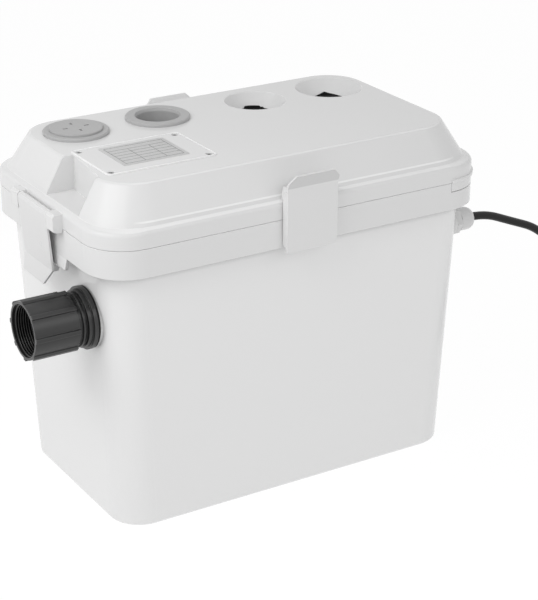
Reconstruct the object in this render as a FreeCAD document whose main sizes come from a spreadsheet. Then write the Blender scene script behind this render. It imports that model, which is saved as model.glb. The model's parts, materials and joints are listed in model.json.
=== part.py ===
import FreeCAD, Part
import math
import os
import re
import Sketcher

Vector = FreeCAD.Vector

# Driving sizes, in millimetres unless a name says degrees or count
SIZES = [
    ("rim_length", 400.0, "tank rim and lid lip, end to end"),
    ("rim_width", 244.0, "tank rim and lid lip, front to back"),
    ("rim_corner", 40.0, "outer corner radius of rim and lip"),
    ("rim_bottom", 251.0, "height of the rim's lower edge"),
    ("rim_height", 26.0, "height of the rim band, up to the seam"),
    ("rim_plate", 4.5, "thickness of the rim's top plate"),
    ("skirt_wall", 4.0, "thickness of the rim's outer skirt"),
    ("wall_draft", 9.0, "how far the tank's end walls lead in from the rim to the floor"),
    ("side_draft", 8.0, "how far its long walls lead in"),
    ("base_corner", 31.0, "tank corner radius at the floor"),
    ("base_round", 2.5, "rounding of the tank's bottom edge"),
    ("rim_out_end", 12.0, "how far the rim stands out from the tank's end walls"),
    ("rim_out_side", 11.0, "how far the rim stands out from the tank's side walls"),
    ("top_corner", 29.5, "tank corner radius under the rim"),
    ("tank_wall", 3.5, "tank wall thickness"),
    ("tank_floor", 4.0, "tank floor thickness"),
    ("pad_less", 1.0, "difference between a moulded seat and the flange on it"),
    ("socket_boss", 2.2, "how far the discharge seat stands out of the wall"),
    ("socket_pad", 3.0, "extra thickness of that seat inside, where the corner curves"),
    ("gland_boss", 3.6, "how far the cable gland's seat stands out of the wall"),
    ("gland_pad", 4.3, "extra thickness of that seat inside, where the corner curves"),
    ("gasket_inset", 4.5, "lid gasket, in from the rim's edge"),
    ("gasket_width", 4.0, "width of the lid gasket"),
    ("gasket_groove", 2.5, "depth of the gasket groove"),
    ("gasket_height", 2.8, "height of the lid gasket"),
    ("gasket_slack", 0.1, "clearance beside and above the lid gasket"),
    ("soft_gap", 0.3, "clearance beside a soft piece"),
    ("seam_gap", 0.4, "open seam between rim and lid"),
    ("lip_height", 14.6, "upright part of the lid's lip"),
    ("lip_round", 4.5, "rounding of the lip's upper edge"),
    ("ledge_rise", 2.5, "rise of the ledge above the lip"),
    ("ledge_inset", 5.0, "width of that ledge"),
    ("ledge_corner", 44.0, "corner radius at the back of the ledge"),
    ("band_rise", 6.5, "foot of the hood above the lip, up to the crease"),
    ("band_inset", 6.5, "how far the crease lies in from the lip"),
    ("crease_corner", 45.5, "corner radius at the crease"),
    ("hood_rise", 28.5, "height of the hood above the band"),
    ("hood_lean", 16.0, "how far the hood's walls lead in"),
    ("hood_corner", 36.0, "corner radius of the hood's top"),
    ("hood_round", 4.0, "rounding of the hood's top edge"),
    ("lid_wall", 3.0, "lid wall thickness"),
    ("rib_thick", 2.5, "sealing rib under the lid"),
    ("end_drop", 8.5, "how far the lid's skirt hangs lower at the cable end"),
    ("end_wall", 2.0, "thickness of that lowered skirt"),
    ("end_gap", 0.4, "clearance of that lowered skirt"),
    ("end_reach", 42.0, "length of that lowered skirt along the sides"),
    ("end_bead", 1.6, "bead round the lid at the cable end"),
    ("bead_height", 3.0, "height of that bead"),
    ("shelf_inset", 9.5, "inner edge of the shelf that carries the sealing rib"),
    ("notch_front", 66.0, "front end of the hood's side notch, from the middle"),
    ("notch_back", 1.0, "back end of the hood's side notch, from the middle"),
    ("notch_deep", 33.0, "notch depth from the lid's end, at its back"),
    ("notch_less", 7.0, "how much less deep the notch is at its front"),
    ("notch_floor", 3.0, "notch floor above the lip's edge"),
    ("port_far", 137.0, "outer ports, from the middle"),
    ("port_near", 53.0, "inner ports, from the middle"),
    ("port_row", 56.0, "ports, back from the middle"),
    ("port_hole", 25.0, "radius of the holes for the grey seals"),
    ("port_collar", 27.0, "depth of the collars under these holes"),
    ("collar_wall", 2.5, "wall of these collars"),
    ("seal_flange", 30.5, "radius of a grey seal's flange"),
    ("seal_proud", 3.0, "height of a grey seal's flange"),
    ("pipe_bore", 20.2, "seal bore radius, for a 40 mm pipe"),
    ("seal_depth", 14.0, "length of the seal's bore below its flange"),
    ("seal_lead", 1.3, "lead-in at the seal's mouth"),
    ("cap_disc", 24.5, "vent cap radius"),
    ("cap_thick", 2.0, "vent cap thickness"),
    ("cap_cup", 19.9, "vent cap's cup radius"),
    ("cap_wall", 1.5, "wall of that cup"),
    ("cap_depth", 38.0, "depth of that cup"),
    ("cap_slots", 4, "vent slot count"),
    ("cap_slot", 2.0, "vent slot width"),
    ("cap_slot_from", 8.0, "inner end of a vent slot"),
    ("cap_slot_to", 13.0, "outer end of a vent slot"),
    ("filter_space", 5.0, "air space above the carbon filter"),
    ("funnel_near", 30.0, "mouth radius of the inner funnel"),
    ("funnel_far", 33.0, "mouth radius of the outer funnel"),
    ("funnel_bore", 20.0, "radius of the funnel's neck"),
    ("funnel_depth", 13.0, "depth of the funnel's cone"),
    ("funnel_neck", 32.0, "depth of the neck's lower end under the hood's top"),
    ("membrane_thick", 1.5, "slit membrane thickness"),
    ("membrane_wall", 1.5, "wall of the membrane's sleeve"),
    ("membrane_deep", 14.0, "depth of the membrane's sleeve"),
    ("membrane_cut", 13.0, "half length of the membrane's crossed slits"),
    ("membrane_slit", 0.8, "width of these slits"),
    ("fit_gap", 0.05, "radial clearance of running fits"),
    ("plate_length", 105.0, "terminal cover, along the hood"),
    ("plate_width", 72.0, "terminal cover, front to back"),
    ("plate_thick", 2.4, "terminal cover thickness"),
    ("plate_proud", 0.5, "how far the terminal cover stands out"),
    ("plate_corner", 3.0, "terminal cover corner radius"),
    ("plate_shift", 112.5, "terminal cover centre, towards the socket end"),
    ("plate_front", 30.0, "terminal cover centre, forward of the middle"),
    ("plate_gap", 0.3, "gap around the terminal cover"),
    ("plate_seat", 6.0, "width of the ledge that carries the terminal cover"),
    ("box_depth", 26.0, "depth of the terminal box under the hood's top"),
    ("box_wall", 2.5, "terminal box wall thickness"),
    ("screw_inset", 4.5, "cover screws, in from the cover's corners"),
    ("screw_shank", 1.45, "cover screw shank radius"),
    ("screw_head", 3.0, "cover screw head radius"),
    ("screw_length", 11.0, "cover screw shank length"),
    ("screw_web", 1.0, "cover thickness under the screw heads"),
    ("screw_cap", 1.3, "cover screw head height"),
    ("board_length", 84.0, "circuit board length"),
    ("board_width", 50.0, "circuit board width"),
    ("board_thick", 1.6, "circuit board thickness"),
    ("board_lift", 4.0, "circuit board above the box floor"),
    ("board_leg", 2.5, "radius of the board's legs"),
    ("block_length", 50.0, "terminal block length"),
    ("block_width", 14.0, "terminal block width"),
    ("block_height", 12.0, "terminal block height"),
    ("latch_width", 52.0, "front and rear latch width"),
    ("latch_proud", 9.0, "latch face, out from the rim"),
    ("latch_plate", 2.2, "latch plate thickness"),
    ("latch_pivot_out", 3.2, "latch pin, out from the rim"),
    ("latch_pivot_up", 3.0, "latch pin, above the rim's lower edge"),
    ("latch_pin", 1.5, "latch pin radius"),
    ("latch_barrel", 3.0, "latch barrel radius"),
    ("latch_lug", 2.4, "radius of the round ends of the lugs beside it"),
    ("latch_top", 30.1, "latch fold above the seam"),
    ("latch_tab", 12.5, "height of the finger tab"),
    ("latch_tab_lean", 4.5, "how far the finger tab leans out"),
    ("latch_tab_cut", 9.0, "chamfer of the finger tab's corners"),
    ("latch_kink", 1.0, "how far the latch's lower edge leads in"),
    ("latch_hang", 3.0, "how far the latch hangs below the rim"),
    ("latch_root", 0.5, "how deep hook and cheeks are rooted in the latch plate"),
    ("latch_bend", 18.0, "bend in the latch face, above the rim's lower edge"),
    ("hook_start", 0.5, "where the latch hook begins, in from the lip"),
    ("hook_reach", 4.8, "how far the latch hook reaches over the lip"),
    ("hook_gap", 0.5, "clearance under the closed hooks"),
    ("hook_nose", 5.0, "height of the hook's nose"),
    ("hook_root", 4.0, "hook's root above the lip's edge"),
    ("cheek_low", 0.5, "latch cheeks above the rim's lower edge"),
    ("cheek_gap", 1.0, "clearance between cheek and rim"),
    ("lug_inner", 15.0, "latch lugs on the rim, inner side from the middle"),
    ("lug_outer", 20.0, "latch lugs on the rim, outer side from the middle"),
    ("end_latch_width", 58.0, "end latch width"),
    ("end_pivot_out", 5.5, "end latch pin, out from the lip"),
    ("end_pivot_up", 10.0, "end latch pin, above the seam"),
    ("end_pin", 2.0, "end latch pin radius"),
    ("end_barrel", 4.0, "end latch barrel radius"),
    ("ear_width", 14.5, "width of each ear beside the end latch"),
    ("ear_gap", 0.4, "side clearance between ear and end latch"),
    ("end_bend_drop", 53.0, "end latch bend below its pin"),
    ("end_flare_drop", 13.7, "height of the end latch's flared edge"),
    ("end_flare", 5.6, "how far that flared edge leans out"),
    ("end_flare_cut", 8.2, "how much narrower that flared edge ends, each side"),
    ("end_pin_grip", 10.0, "how far the end latch's pin reaches into each ear"),
    ("catch_bite", 3.5, "how far the end hook reaches under its catch"),
    ("catch_wedge", 7.0, "height of the end hook"),
    ("catch_hook_width", 50.0, "width of the end hook"),
    ("catch_drop", 12.0, "catch tab below the rim, at the socket end"),
    ("catch_width", 88.0, "catch tab width"),
    ("catch_thick", 3.0, "catch tab thickness"),
    ("ear_drop", 13.0, "ear's lower edge below its pin"),
    ("ear_cut", 2.0, "chamfer of the ears"),
    ("socket_side", 59.0, "discharge axis, forward of the middle"),
    ("socket_height", 198.5, "discharge axis height"),
    ("flange_radius", 28.5, "discharge flange radius"),
    ("flange_thick", 3.5, "discharge flange thickness"),
    ("washer_thick", 2.0, "thickness of the washer behind the flange"),
    ("step_radius", 26.2, "stepped collar radius"),
    ("step_length", 4.2, "stepped collar length"),
    ("waist_radius", 23.0, "narrow waist beyond the stepped collar"),
    ("waist_ring", 25.0, "thin ring round the waist"),
    ("waist_ring_up", 3.0, "that ring's place on the waist"),
    ("waist_ring_thick", 1.5, "thickness of that ring"),
    ("neck_radius", 22.0, "neck that carries the ribbed sleeve"),
    ("neck_lip", 23.3, "radius of the lip that holds the sleeve on"),
    ("neck_lip_thick", 3.0, "thickness of that lip"),
    ("adapter_bore", 17.0, "bore of the discharge adapter"),
    ("adapter_thread", 22.9, "outer radius of the adapter's thread"),
    ("adapter_inside", 16.0, "adapter length inside the tank wall"),
    ("sleeve_start", 18.5, "ribbed sleeve's inner end, out from the wall seat"),
    ("sleeve_length", 42.0, "ribbed sleeve length"),
    ("sleeve_radius", 26.2, "ribbed sleeve radius between its ribs"),
    ("sleeve_rib", 1.8, "rib height on the sleeve"),
    ("sleeve_rib_width", 5.5, "rib width on the sleeve"),
    ("sleeve_ribs", 8, "rib count on the sleeve"),
    ("sleeve_thread", 23.9, "radius of the sleeve's female thread"),
    ("thread_length", 24.0, "length of that thread"),
    ("thread_relief", 0.6, "relief behind that thread"),
    ("sleeve_bearing", 14.0, "length of the sleeve's bearing end"),
    ("nut_across", 50.0, "ring nut across flats"),
    ("nut_thick", 8.0, "ring nut thickness"),
    ("valve_radius", 26.0, "check valve body radius"),
    ("valve_length", 47.0, "check valve body length"),
    ("valve_chamber", 22.0, "check valve chamber radius"),
    ("valve_seat", 12.5, "check valve seat bore radius"),
    ("valve_seat_thick", 6.0, "check valve seat thickness"),
    ("valve_socket_wall", 3.0, "wall of the valve's pipe socket"),
    ("pipe_socket", 10.0, "depth of that pipe socket"),
    ("flap_radius", 15.5, "check valve flap radius"),
    ("flap_thick", 3.0, "check valve flap thickness"),
    ("flap_pivot", 17.5, "flap pin above the valve's axis"),
    ("flap_pin", 1.25, "flap pin radius"),
    ("flap_lug", 3.2, "flap lug radius"),
    ("flap_arm", 5.0, "half width of the flap's arm"),
    ("flap_pin_half", 18.0, "half length of the flap pin"),
    ("valve_flap_gap", 0.1, "gap between flap and seat"),
    ("pipe_outer", 17.0, "riser pipe outer radius"),
    ("pipe_inner", 13.5, "riser pipe inner radius"),
    ("pipe_bend", 34.0, "riser elbow radius"),
    ("riser_shift", 76.0, "riser axis, towards the socket end"),
    ("riser_foot", 84.0, "height of the riser's lower end"),
    ("joint_gap", 1.0, "gap between riser and pump outlet in the coupling"),
    ("coupling_wall", 3.5, "rubber coupling wall"),
    ("coupling_grip", 16.0, "rubber coupling length on each pipe"),
    ("clamp_width", 8.0, "hose clamp width"),
    ("clamp_thick", 1.0, "hose clamp thickness"),
    ("pump_shift", 8.0, "pump axis, towards the socket end"),
    ("pump_front", 14.0, "pump axis, forward of the middle"),
    ("foot_height", 3.0, "rubber foot height"),
    ("foot_radius", 7.0, "rubber foot radius"),
    ("foot_circle", 48.0, "rubber feet, from the pump's axis"),
    ("strainer_radius", 58.0, "strainer radius"),
    ("strainer_height", 10.0, "strainer height"),
    ("strainer_wall", 3.0, "strainer wall thickness"),
    ("strainer_slot", 6.0, "strainer slot width"),
    ("strainer_slots", 16, "strainer slot count"),
    ("casing_radius", 60.0, "pump casing radius"),
    ("casing_height", 30.0, "pump casing height"),
    ("casing_chamber", 46.0, "impeller chamber radius"),
    ("casing_floor", 4.0, "pump casing floor thickness"),
    ("chamber_height", 18.0, "impeller chamber height"),
    ("suction_eye", 18.0, "suction opening radius"),
    ("duct_half", 9.0, "half width of the casing's outlet duct"),
    ("impeller_radius", 42.0, "impeller radius"),
    ("impeller_disc", 3.0, "impeller disc thickness"),
    ("impeller_gap", 1.2, "impeller running gap"),
    ("vane_height", 9.0, "impeller vane height"),
    ("vane_thick", 3.0, "impeller vane thickness"),
    ("vane_count", 6, "impeller vane count"),
    ("vane_sweep", 14.0, "sideways sweep of the vanes"),
    ("hub_radius", 10.0, "impeller hub radius"),
    ("shaft_radius", 6.0, "motor shaft radius"),
    ("shaft_thread", 4.0, "radius of the shaft's threaded end"),
    ("nut_height", 4.0, "impeller nut height"),
    ("seal_outer", 12.0, "shaft seal outer radius"),
    ("seal_height", 6.0, "shaft seal height"),
    ("bearing_outer", 16.0, "bearing outer radius"),
    ("bearing_height", 10.0, "bearing height"),
    ("motor_radius", 50.0, "motor housing radius"),
    ("motor_wall", 2.5, "motor housing wall"),
    ("motor_height", 122.0, "motor housing height"),
    ("motor_flange", 60.0, "motor flange radius"),
    ("motor_flange_thick", 5.0, "motor flange thickness"),
    ("rotor_radius", 24.0, "rotor radius"),
    ("rotor_height", 60.0, "rotor height"),
    ("stator_height", 68.0, "stator height"),
    ("air_gap", 0.5, "gap between rotor and stator"),
    ("cap_height", 14.0, "motor cap height"),
    ("bolt_circle", 55.0, "casing screws, from the pump's axis"),
    ("bolt_radius", 2.5, "casing screw radius"),
    ("bolt_length", 22.0, "casing screw length"),
    ("bolt_head", 4.2, "casing screw head radius"),
    ("bolt_head_height", 4.0, "casing screw head height"),
    ("float_pivot_out", 66.0, "float pin, from the pump's axis"),
    ("float_pivot_up", 150.0, "float pin height"),
    ("float_pin", 2.0, "float pin radius"),
    ("float_arm", 46.0, "float arm length"),
    ("float_radius", 17.0, "float radius"),
    ("float_length", 46.0, "float length"),
    ("float_arm_half", 4.0, "half width of the float arm"),
    ("bracket_half", 9.0, "half height and half width of the float bracket"),
    ("bracket_thick", 3.0, "float bracket thickness"),
    ("gland_side", 78.0, "cable gland axis, forward of the middle"),
    ("gland_height", 219.0, "cable gland axis height"),
    ("gland_flange", 12.0, "gland flange radius"),
    ("gland_flange_thick", 2.0, "gland flange thickness"),
    ("gland_across", 22.0, "gland hexagon across flats"),
    ("gland_hex", 5.5, "gland hexagon length"),
    ("gland_crown", 4.0, "length of the cap nut's closed crown"),
    ("seal_insert", 6.0, "radius of the rubber insert in the gland"),
    ("gland_slit", 0.4, "gap between gland body and cap nut"),
    ("gland_thread", 8.0, "gland thread radius"),
    ("gland_inside", 15.0, "gland length inside the tank wall"),
    ("gland_nut", 11.0, "gland cap nut radius"),
    ("gland_nut_length", 16.0, "gland cap nut length"),
    ("cable_radius", 4.0, "mains lead radius"),
    ("cable_gap", 0.2, "clearance around the lead in the gland"),
    ("coil_middle", 44.0, "radius at the middle of the coil's turns"),
    ("coil_x", 438.0, "coil centre, towards the cable end"),
    ("coil_y", 130.0, "coil centre, forward of the middle"),
    ("coil_lift", 1.0, "coil above the floor, on its tie"),
    ("coil_stub", 30.0, "straight end of the coil where the lead runs in"),
    ("turn_press", 0.05, "how far neighbouring turns press into each other"),
    ("motor_tail", 40.0, "straight part of the lead inside the wall"),
    ("motor_lead", 30.0, "where the lead enters the motor cap, from the pump's axis"),
    ("tie_width", 10.0, "coil tie width"),
    ("tie_thick", 0.5, "coil tie thickness"),
    ("tie_slack", 0.5, "clearance of the tie round the coil"),
    ("plug_radius", 18.5, "plug face radius"),
    ("plug_length", 48.0, "plug body length"),
    ("plug_lead", 40.0, "straight lead between coil and plug"),
    ("plug_clip", 2.0, "depth of the plug's earth contacts in its edge"),
    ("pin_root", 12.0, "length of a plug pin inside the plug"),
    ("plug_tilt_degrees", 10.0, "how far the lying plug tilts up"),
    ("pin_radius", 2.4, "plug pin radius"),
    ("pin_length", 19.0, "plug pin length"),
    ("pin_spread", 9.5, "plug pins, each side of the plug's axis"),
]
ALIASES = {alias for alias, value, note in SIZES}

document = FreeCAD.newDocument("LiftingStation")
sheet = document.addObject("Spreadsheet::Sheet", "Sizes")
for row, (alias, value, note) in enumerate(SIZES, 1):
    sheet.set(f"A{row}", note)
    sheet.set(f"B{row}", str(value))
    sheet.setAlias(f"B{row}", alias)
document.recompute()

# Heights and places that several pieces share, as formulas of the driving sizes
SEAM = "(rim_bottom + rim_height)"
LID_BOTTOM = f"({SEAM} + seam_gap)"
LIP_TOP = f"({LID_BOTTOM} + lip_height)"
LEDGE_TOP = f"({LIP_TOP} + ledge_rise)"
CREASE = f"({LIP_TOP} + band_rise)"
HOOD_TOP = f"({CREASE} + hood_rise)"
NOTCH_FLOOR = f"({LIP_TOP} + notch_floor)"
TOP_LENGTH = "(rim_length - 2 * rim_out_end)"
TOP_WIDTH = "(rim_width - 2 * rim_out_side)"
BASE_LENGTH = f"({TOP_LENGTH} - 2 * wall_draft)"
BASE_WIDTH = f"({TOP_WIDTH} - 2 * side_draft)"
SLOPE = "(wall_draft / rim_bottom)"
SOCKET_SEAT = f"({BASE_LENGTH} / 2 + {SLOPE} * socket_height + socket_boss)"
SOCKET_WALL = f"(socket_boss + tank_wall + {SLOPE} * flange_radius + socket_pad)"
GLAND_SEAT = f"({BASE_LENGTH} / 2 + {SLOPE} * gland_height + gland_boss)"
GLAND_WALL = f"(gland_boss + tank_wall + {SLOPE} * gland_flange + gland_pad)"
PLATE_SINK = "(plate_thick - plate_proud)"
CASING_FOOT = "(tank_floor + foot_height + strainer_height)"
MOTOR_FOOT = f"({CASING_FOOT} + casing_height)"
MOTOR_TOP = f"({MOTOR_FOOT} + motor_height)"
FLOAT_X = "(float_pivot_out - pump_shift)"


def formula(text):
    """The expression that the document stores: each size's name gets its sheet in front."""

    def qualified(word):
        name = word.group()
        return f"Sizes.{name}" if name in ALIASES else name

    return re.sub(r"[a-z_]+", qualified, str(text))


def size(alias):
    """A driving size as a number, for shapes that are built straight from the sheet."""
    return float(sheet.get(alias))


def bind(thing, **sizes):
    for name, text in sizes.items():
        thing.setExpression(name, formula(text))


def place(thing, x=0, y=0, z=0, axis=None, degrees=0):
    """Moves a finished piece to its place; x, y and z are formulas, and the turn is fixed."""
    if axis is not None:
        thing.Placement = FreeCAD.Placement(Vector(), FreeCAD.Rotation(axis, degrees))
    for direction, text in zip("xyz", (x, y, z)):
        if text != 0:
            thing.setExpression(f"Placement.Base.{direction}", formula(text))


def new_body(label):
    body = document.addObject("PartDesign::Body", label)
    body.Label = label
    return body


def new_sketch(body, role="XY_Plane", x=0, y=0, lift=0):
    """A sketch on one of the body's own origin planes, moved along the plane and off it."""
    sketch = body.newObject("Sketcher::SketchObject", "Outline")
    support = next(f for f in body.Origin.OriginFeatures if f.Role == role)
    sketch.AttachmentSupport = [(support, "")]
    sketch.MapMode = "FlatFace"
    for direction, text in zip("xyz", (x, y, lift)):
        if text != 0:
            sketch.setExpression(f"AttachmentOffset.Base.{direction}", formula(text))
    return sketch


def pin_point(sketch, element, end, x, y):
    """Ties one point of a sketch to formulas for its two coordinates."""
    spot = sketch.getPoint(element, end)
    for kind, text, value in (("DistanceX", x, spot.x), ("DistanceY", y, spot.y)):
        if text is None:
            continue
        number = sketch.addConstraint(Sketcher.Constraint(kind, -1, 1, element, end, value))
        sketch.setExpression(f"Constraints[{number}]", formula(text))


def draw_polygon(sketch, corners):
    count = len(corners)
    first = sketch.GeometryCount
    turn = 2 * math.pi / count
    ring = [Vector(30 * math.cos(turn * k), 30 * math.sin(turn * k), 0) for k in range(count)]
    for k in range(count):
        sketch.addGeometry(Part.LineSegment(ring[k], ring[(k + 1) % count]), False)
    for k in range(count):
        after = first + (k + 1) % count
        sketch.addConstraint(Sketcher.Constraint("Coincident", first + k, 2, after, 1))
    for k, (x, y) in enumerate(corners):
        pin_point(sketch, first + k, 1, x, y)
    return sketch


def draw_rounded(sketch, length, width, corner):
    """A rectangle with round corners about the sketch's origin."""
    first = sketch.GeometryCount
    a, b, r = 100.0, 60.0, 20.0
    sides = [
        ((r - a, -b), (a - r, -b)),
        ((a, r - b), (a, b - r)),
        ((a - r, b), (r - a, b)),
        ((-a, b - r), (-a, r - b)),
    ]
    centres = [(a - r, r - b), (a - r, b - r), (r - a, b - r), (r - a, r - b)]
    for k in range(4):
        start, end = (Vector(x, y, 0) for x, y in sides[k])
        sketch.addGeometry(Part.LineSegment(start, end), False)
        circle = Part.Circle(Vector(*centres[k], 0), Vector(0, 0, 1), r)
        sketch.addGeometry(Part.ArcOfCircle(circle, (k - 1) * math.pi / 2, k * math.pi / 2), False)
    for k in range(4):
        line, arc, after = first + 2 * k, first + 2 * k + 1, first + (2 * k + 2) % 8
        sketch.addConstraint(Sketcher.Constraint("Coincident", line, 2, arc, 1))
        sketch.addConstraint(Sketcher.Constraint("Coincident", arc, 2, after, 1))
    half_x, half_y = f"({length}) / 2", f"({width}) / 2"
    end_x, end_y = f"({half_x} - ({corner}))", f"({half_y} - ({corner}))"
    ends = [
        ((f"-{end_x}", f"-{half_y}"), (end_x, f"-{half_y}")),
        ((half_x, f"-{end_y}"), (half_x, end_y)),
        ((end_x, half_y), (f"-{end_x}", half_y)),
        ((f"-{half_x}", end_y), (f"-{half_x}", f"-{end_y}")),
    ]
    for k in range(4):
        pin_point(sketch, first + 2 * k, 1, *ends[k][0])
        pin_point(sketch, first + 2 * k, 2, *ends[k][1])
        pin_point(sketch, first + 2 * k + 1, 3, end_x if k < 2 else f"-{end_x}", None)
    return sketch


def draw_circle(sketch, radius, x=0, y=0):
    element = sketch.addGeometry(Part.Circle(Vector(5, 5, 0), Vector(0, 0, 1), 3), False)
    number = sketch.addConstraint(Sketcher.Constraint("Radius", element, 3))
    sketch.setExpression(f"Constraints[{number}]", formula(radius))
    pin_point(sketch, element, 3, x, y)
    return sketch


def feature(body, kind, profile, **settings):
    """Adds a feature to a body and makes sure that it changed the solid the right way."""
    before = body.Shape.Volume if body.Tip else 0
    made = body.newObject(f"PartDesign::{kind}", kind)
    made.Profile = profile
    for name, value in settings.items():
        if isinstance(value, str):
            made.setExpression(name, formula(value))
        else:
            setattr(made, name, value)
    document.recompute()
    cuts = kind in ("Pocket", "Groove", "SubtractiveLoft")
    change = body.Shape.Volume - before
    if cuts and change > -0.001 or not cuts and change < 0.001:
        raise RuntimeError(f"{body.Label}: {kind} changed the volume by {change}")
    return made


def pad(body, sketch, length, **settings):
    return feature(body, "Pad", sketch, Length=length, **settings)


def pocket(body, sketch, length, **settings):
    return feature(body, "Pocket", sketch, Length=length, **settings)


def turn_solid(body, corners, kind="Revolution", x=0, lift=0):
    """A turned shape about an upright axis; the corners are radius and height."""
    sketch = draw_polygon(new_sketch(body, "XZ_Plane", x=x, lift=lift), corners)
    return feature(body, kind, sketch, ReferenceAxis=(sketch, ["V_Axis"]), Angle=360)


def turned(label, corners):
    body = new_body(label)
    turn_solid(body, corners)
    return body


def ring_corners(inner, outer, low, high):
    return [(inner, low), (outer, low), (outer, high), (inner, high)]


def round_edges(body, radius, chosen):
    """Rounds the edges of a body that a test picks out."""
    base = body.Tip
    names = [f"Edge{k}" for k, edge in enumerate(base.Shape.Edges, 1) if chosen(edge)]
    fillet = body.newObject("PartDesign::Fillet", "Fillet")
    fillet.Base = (base, names)
    fillet.setExpression("Radius", formula(radius))
    document.recompute()
    return fillet


def repeat(body, made, count):
    """Repeats a feature round the body's upright axis."""
    pattern = body.newObject("PartDesign::PolarPattern", "Pattern")
    pattern.Originals = [made]
    pattern.Axis = (made.Profile[0], ["N_Axis"])
    pattern.Angle = 360
    pattern.setExpression("Occurrences", formula(count))
    body.Tip = pattern
    document.recompute()
    return pattern


def combine(kind, label, base, tool):
    """A cut, a fuse or a common of two objects."""
    made = document.addObject(f"Part::{kind}", label)
    made.Label = label
    made.Base = base
    made.Tool = tool
    made.Refine = True
    return made


def group(label, members):
    made = document.addObject("Part::Compound", label)
    made.Label = label
    made.Links = members
    return made


def mirrored(sign, text):
    return text if sign > 0 else f"-({text})"


def direct(label, shape):
    """A piece whose shape is built by Part's own functions from sizes in the sheet."""
    made = document.addObject("Part::Feature", label)
    made.Label = label
    made.Shape = shape
    return made


def at_height(level):
    return lambda edge: abs(edge.BoundBox.ZMin - level) < 0.01 and abs(edge.BoundBox.ZMax - level) < 0.01


# Tank: drafted shell, flared rim with a hollow skirt, seats for the two outlets
tank_shell = new_body("tank_shell")
foot_steps = [
    draw_rounded(
        new_sketch(tank_shell, lift=f"base_round * {1 - math.cos(angle):.4f}"),
        f"{BASE_LENGTH} - 2 * base_round * {1 - math.sin(angle):.4f}",
        f"{BASE_WIDTH} - 2 * base_round * {1 - math.sin(angle):.4f}",
        f"base_corner - base_round * {1 - math.sin(angle):.4f}",
    )
    for angle in (math.radians(step) for step in (0, 30, 60, 90))
]
upper = draw_rounded(new_sketch(tank_shell, lift="rim_bottom"), TOP_LENGTH, TOP_WIDTH, "top_corner")
wall_steps = foot_steps + [upper]
for low, high in zip(wall_steps, wall_steps[1:]):
    feature(tank_shell, "AdditiveLoft", low, Sections=[high], Ruled=True)
rim = draw_rounded(new_sketch(tank_shell, lift="rim_bottom"), "rim_length", "rim_width", "rim_corner")
pad(tank_shell, rim, "rim_height")


def inset_outline(body, lift, inset, second=None):
    """The rim's outline, moved in by an inset, with a second one inside for a ring."""
    sketch = new_sketch(body, lift=lift)
    for amount in (inset, second):
        if amount is not None:
            draw_rounded(
                sketch,
                f"rim_length - 2 * ({amount})",
                f"rim_width - 2 * ({amount})",
                f"rim_corner - ({amount})",
            )
    return sketch


under_rim = new_sketch(tank_shell, lift="rim_bottom")
draw_rounded(
    under_rim, "rim_length - 2 * skirt_wall", "rim_width - 2 * skirt_wall", "rim_corner - skirt_wall"
)
draw_rounded(under_rim, TOP_LENGTH, TOP_WIDTH, "top_corner")
pocket(tank_shell, under_rim, "rim_height - rim_plate", Reversed=True)
inner_low = new_sketch(tank_shell, lift="tank_floor")
draw_rounded(
    inner_low, f"{BASE_LENGTH} - 2 * tank_wall", f"{BASE_WIDTH} - 2 * tank_wall", "base_corner - tank_wall"
)
inner_high = new_sketch(tank_shell, lift="rim_bottom")
draw_rounded(
    inner_high, f"{TOP_LENGTH} - 2 * tank_wall", f"{TOP_WIDTH} - 2 * tank_wall", "top_corner - tank_wall"
)
feature(tank_shell, "SubtractiveLoft", inner_low, Sections=[inner_high], Ruled=True)
inner_rim = new_sketch(tank_shell, lift=SEAM)
draw_rounded(
    inner_rim, f"{TOP_LENGTH} - 2 * tank_wall", f"{TOP_WIDTH} - 2 * tank_wall", "top_corner - tank_wall"
)
pocket(tank_shell, inner_rim, "rim_height")
groove = inset_outline(tank_shell, SEAM, "gasket_inset", "gasket_inset + gasket_width")
pocket(tank_shell, groove, "gasket_groove")


def draw_tongue(sketch, root, tip, level, radius, hole, side):
    """A lug's outline: square at its root, round about its hole."""
    first = sketch.GeometryCount
    begin, end = 20.0 * side, 30.0 * side
    arc = Part.Circle(Vector(end, 0, 0), Vector(0, 0, 1), 4)
    start_angle = -math.pi / 2 if side > 0 else math.pi / 2
    sketch.addGeometry(Part.ArcOfCircle(arc, start_angle, start_angle + math.pi), False)
    points = [
        Vector(end, 4 * side, 0),
        Vector(begin, 4 * side, 0),
        Vector(begin, -4 * side, 0),
        Vector(end, -4 * side, 0),
    ]
    for start, stop in zip(points, points[1:]):
        sketch.addGeometry(Part.LineSegment(start, stop), False)
    sketch.addConstraint(Sketcher.Constraint("Coincident", first, 2, first + 1, 1))
    sketch.addConstraint(Sketcher.Constraint("Coincident", first + 1, 2, first + 2, 1))
    sketch.addConstraint(Sketcher.Constraint("Coincident", first + 2, 2, first + 3, 1))
    sketch.addConstraint(Sketcher.Constraint("Coincident", first + 3, 2, first, 1))
    up = "+" if side > 0 else "-"
    down = "-" if side > 0 else "+"
    pin_point(sketch, first + 1, 1, tip, f"({level}) {up} ({radius})")
    pin_point(sketch, first + 1, 2, root, f"({level}) {up} ({radius})")
    pin_point(sketch, first + 2, 2, root, f"({level}) {down} ({radius})")
    pin_point(sketch, first + 3, 2, tip, f"({level}) {down} ({radius})")
    pin_point(sketch, first, 3, tip, None)
    if hole is not None:
        draw_circle(sketch, hole, tip, level)
    return sketch


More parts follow.
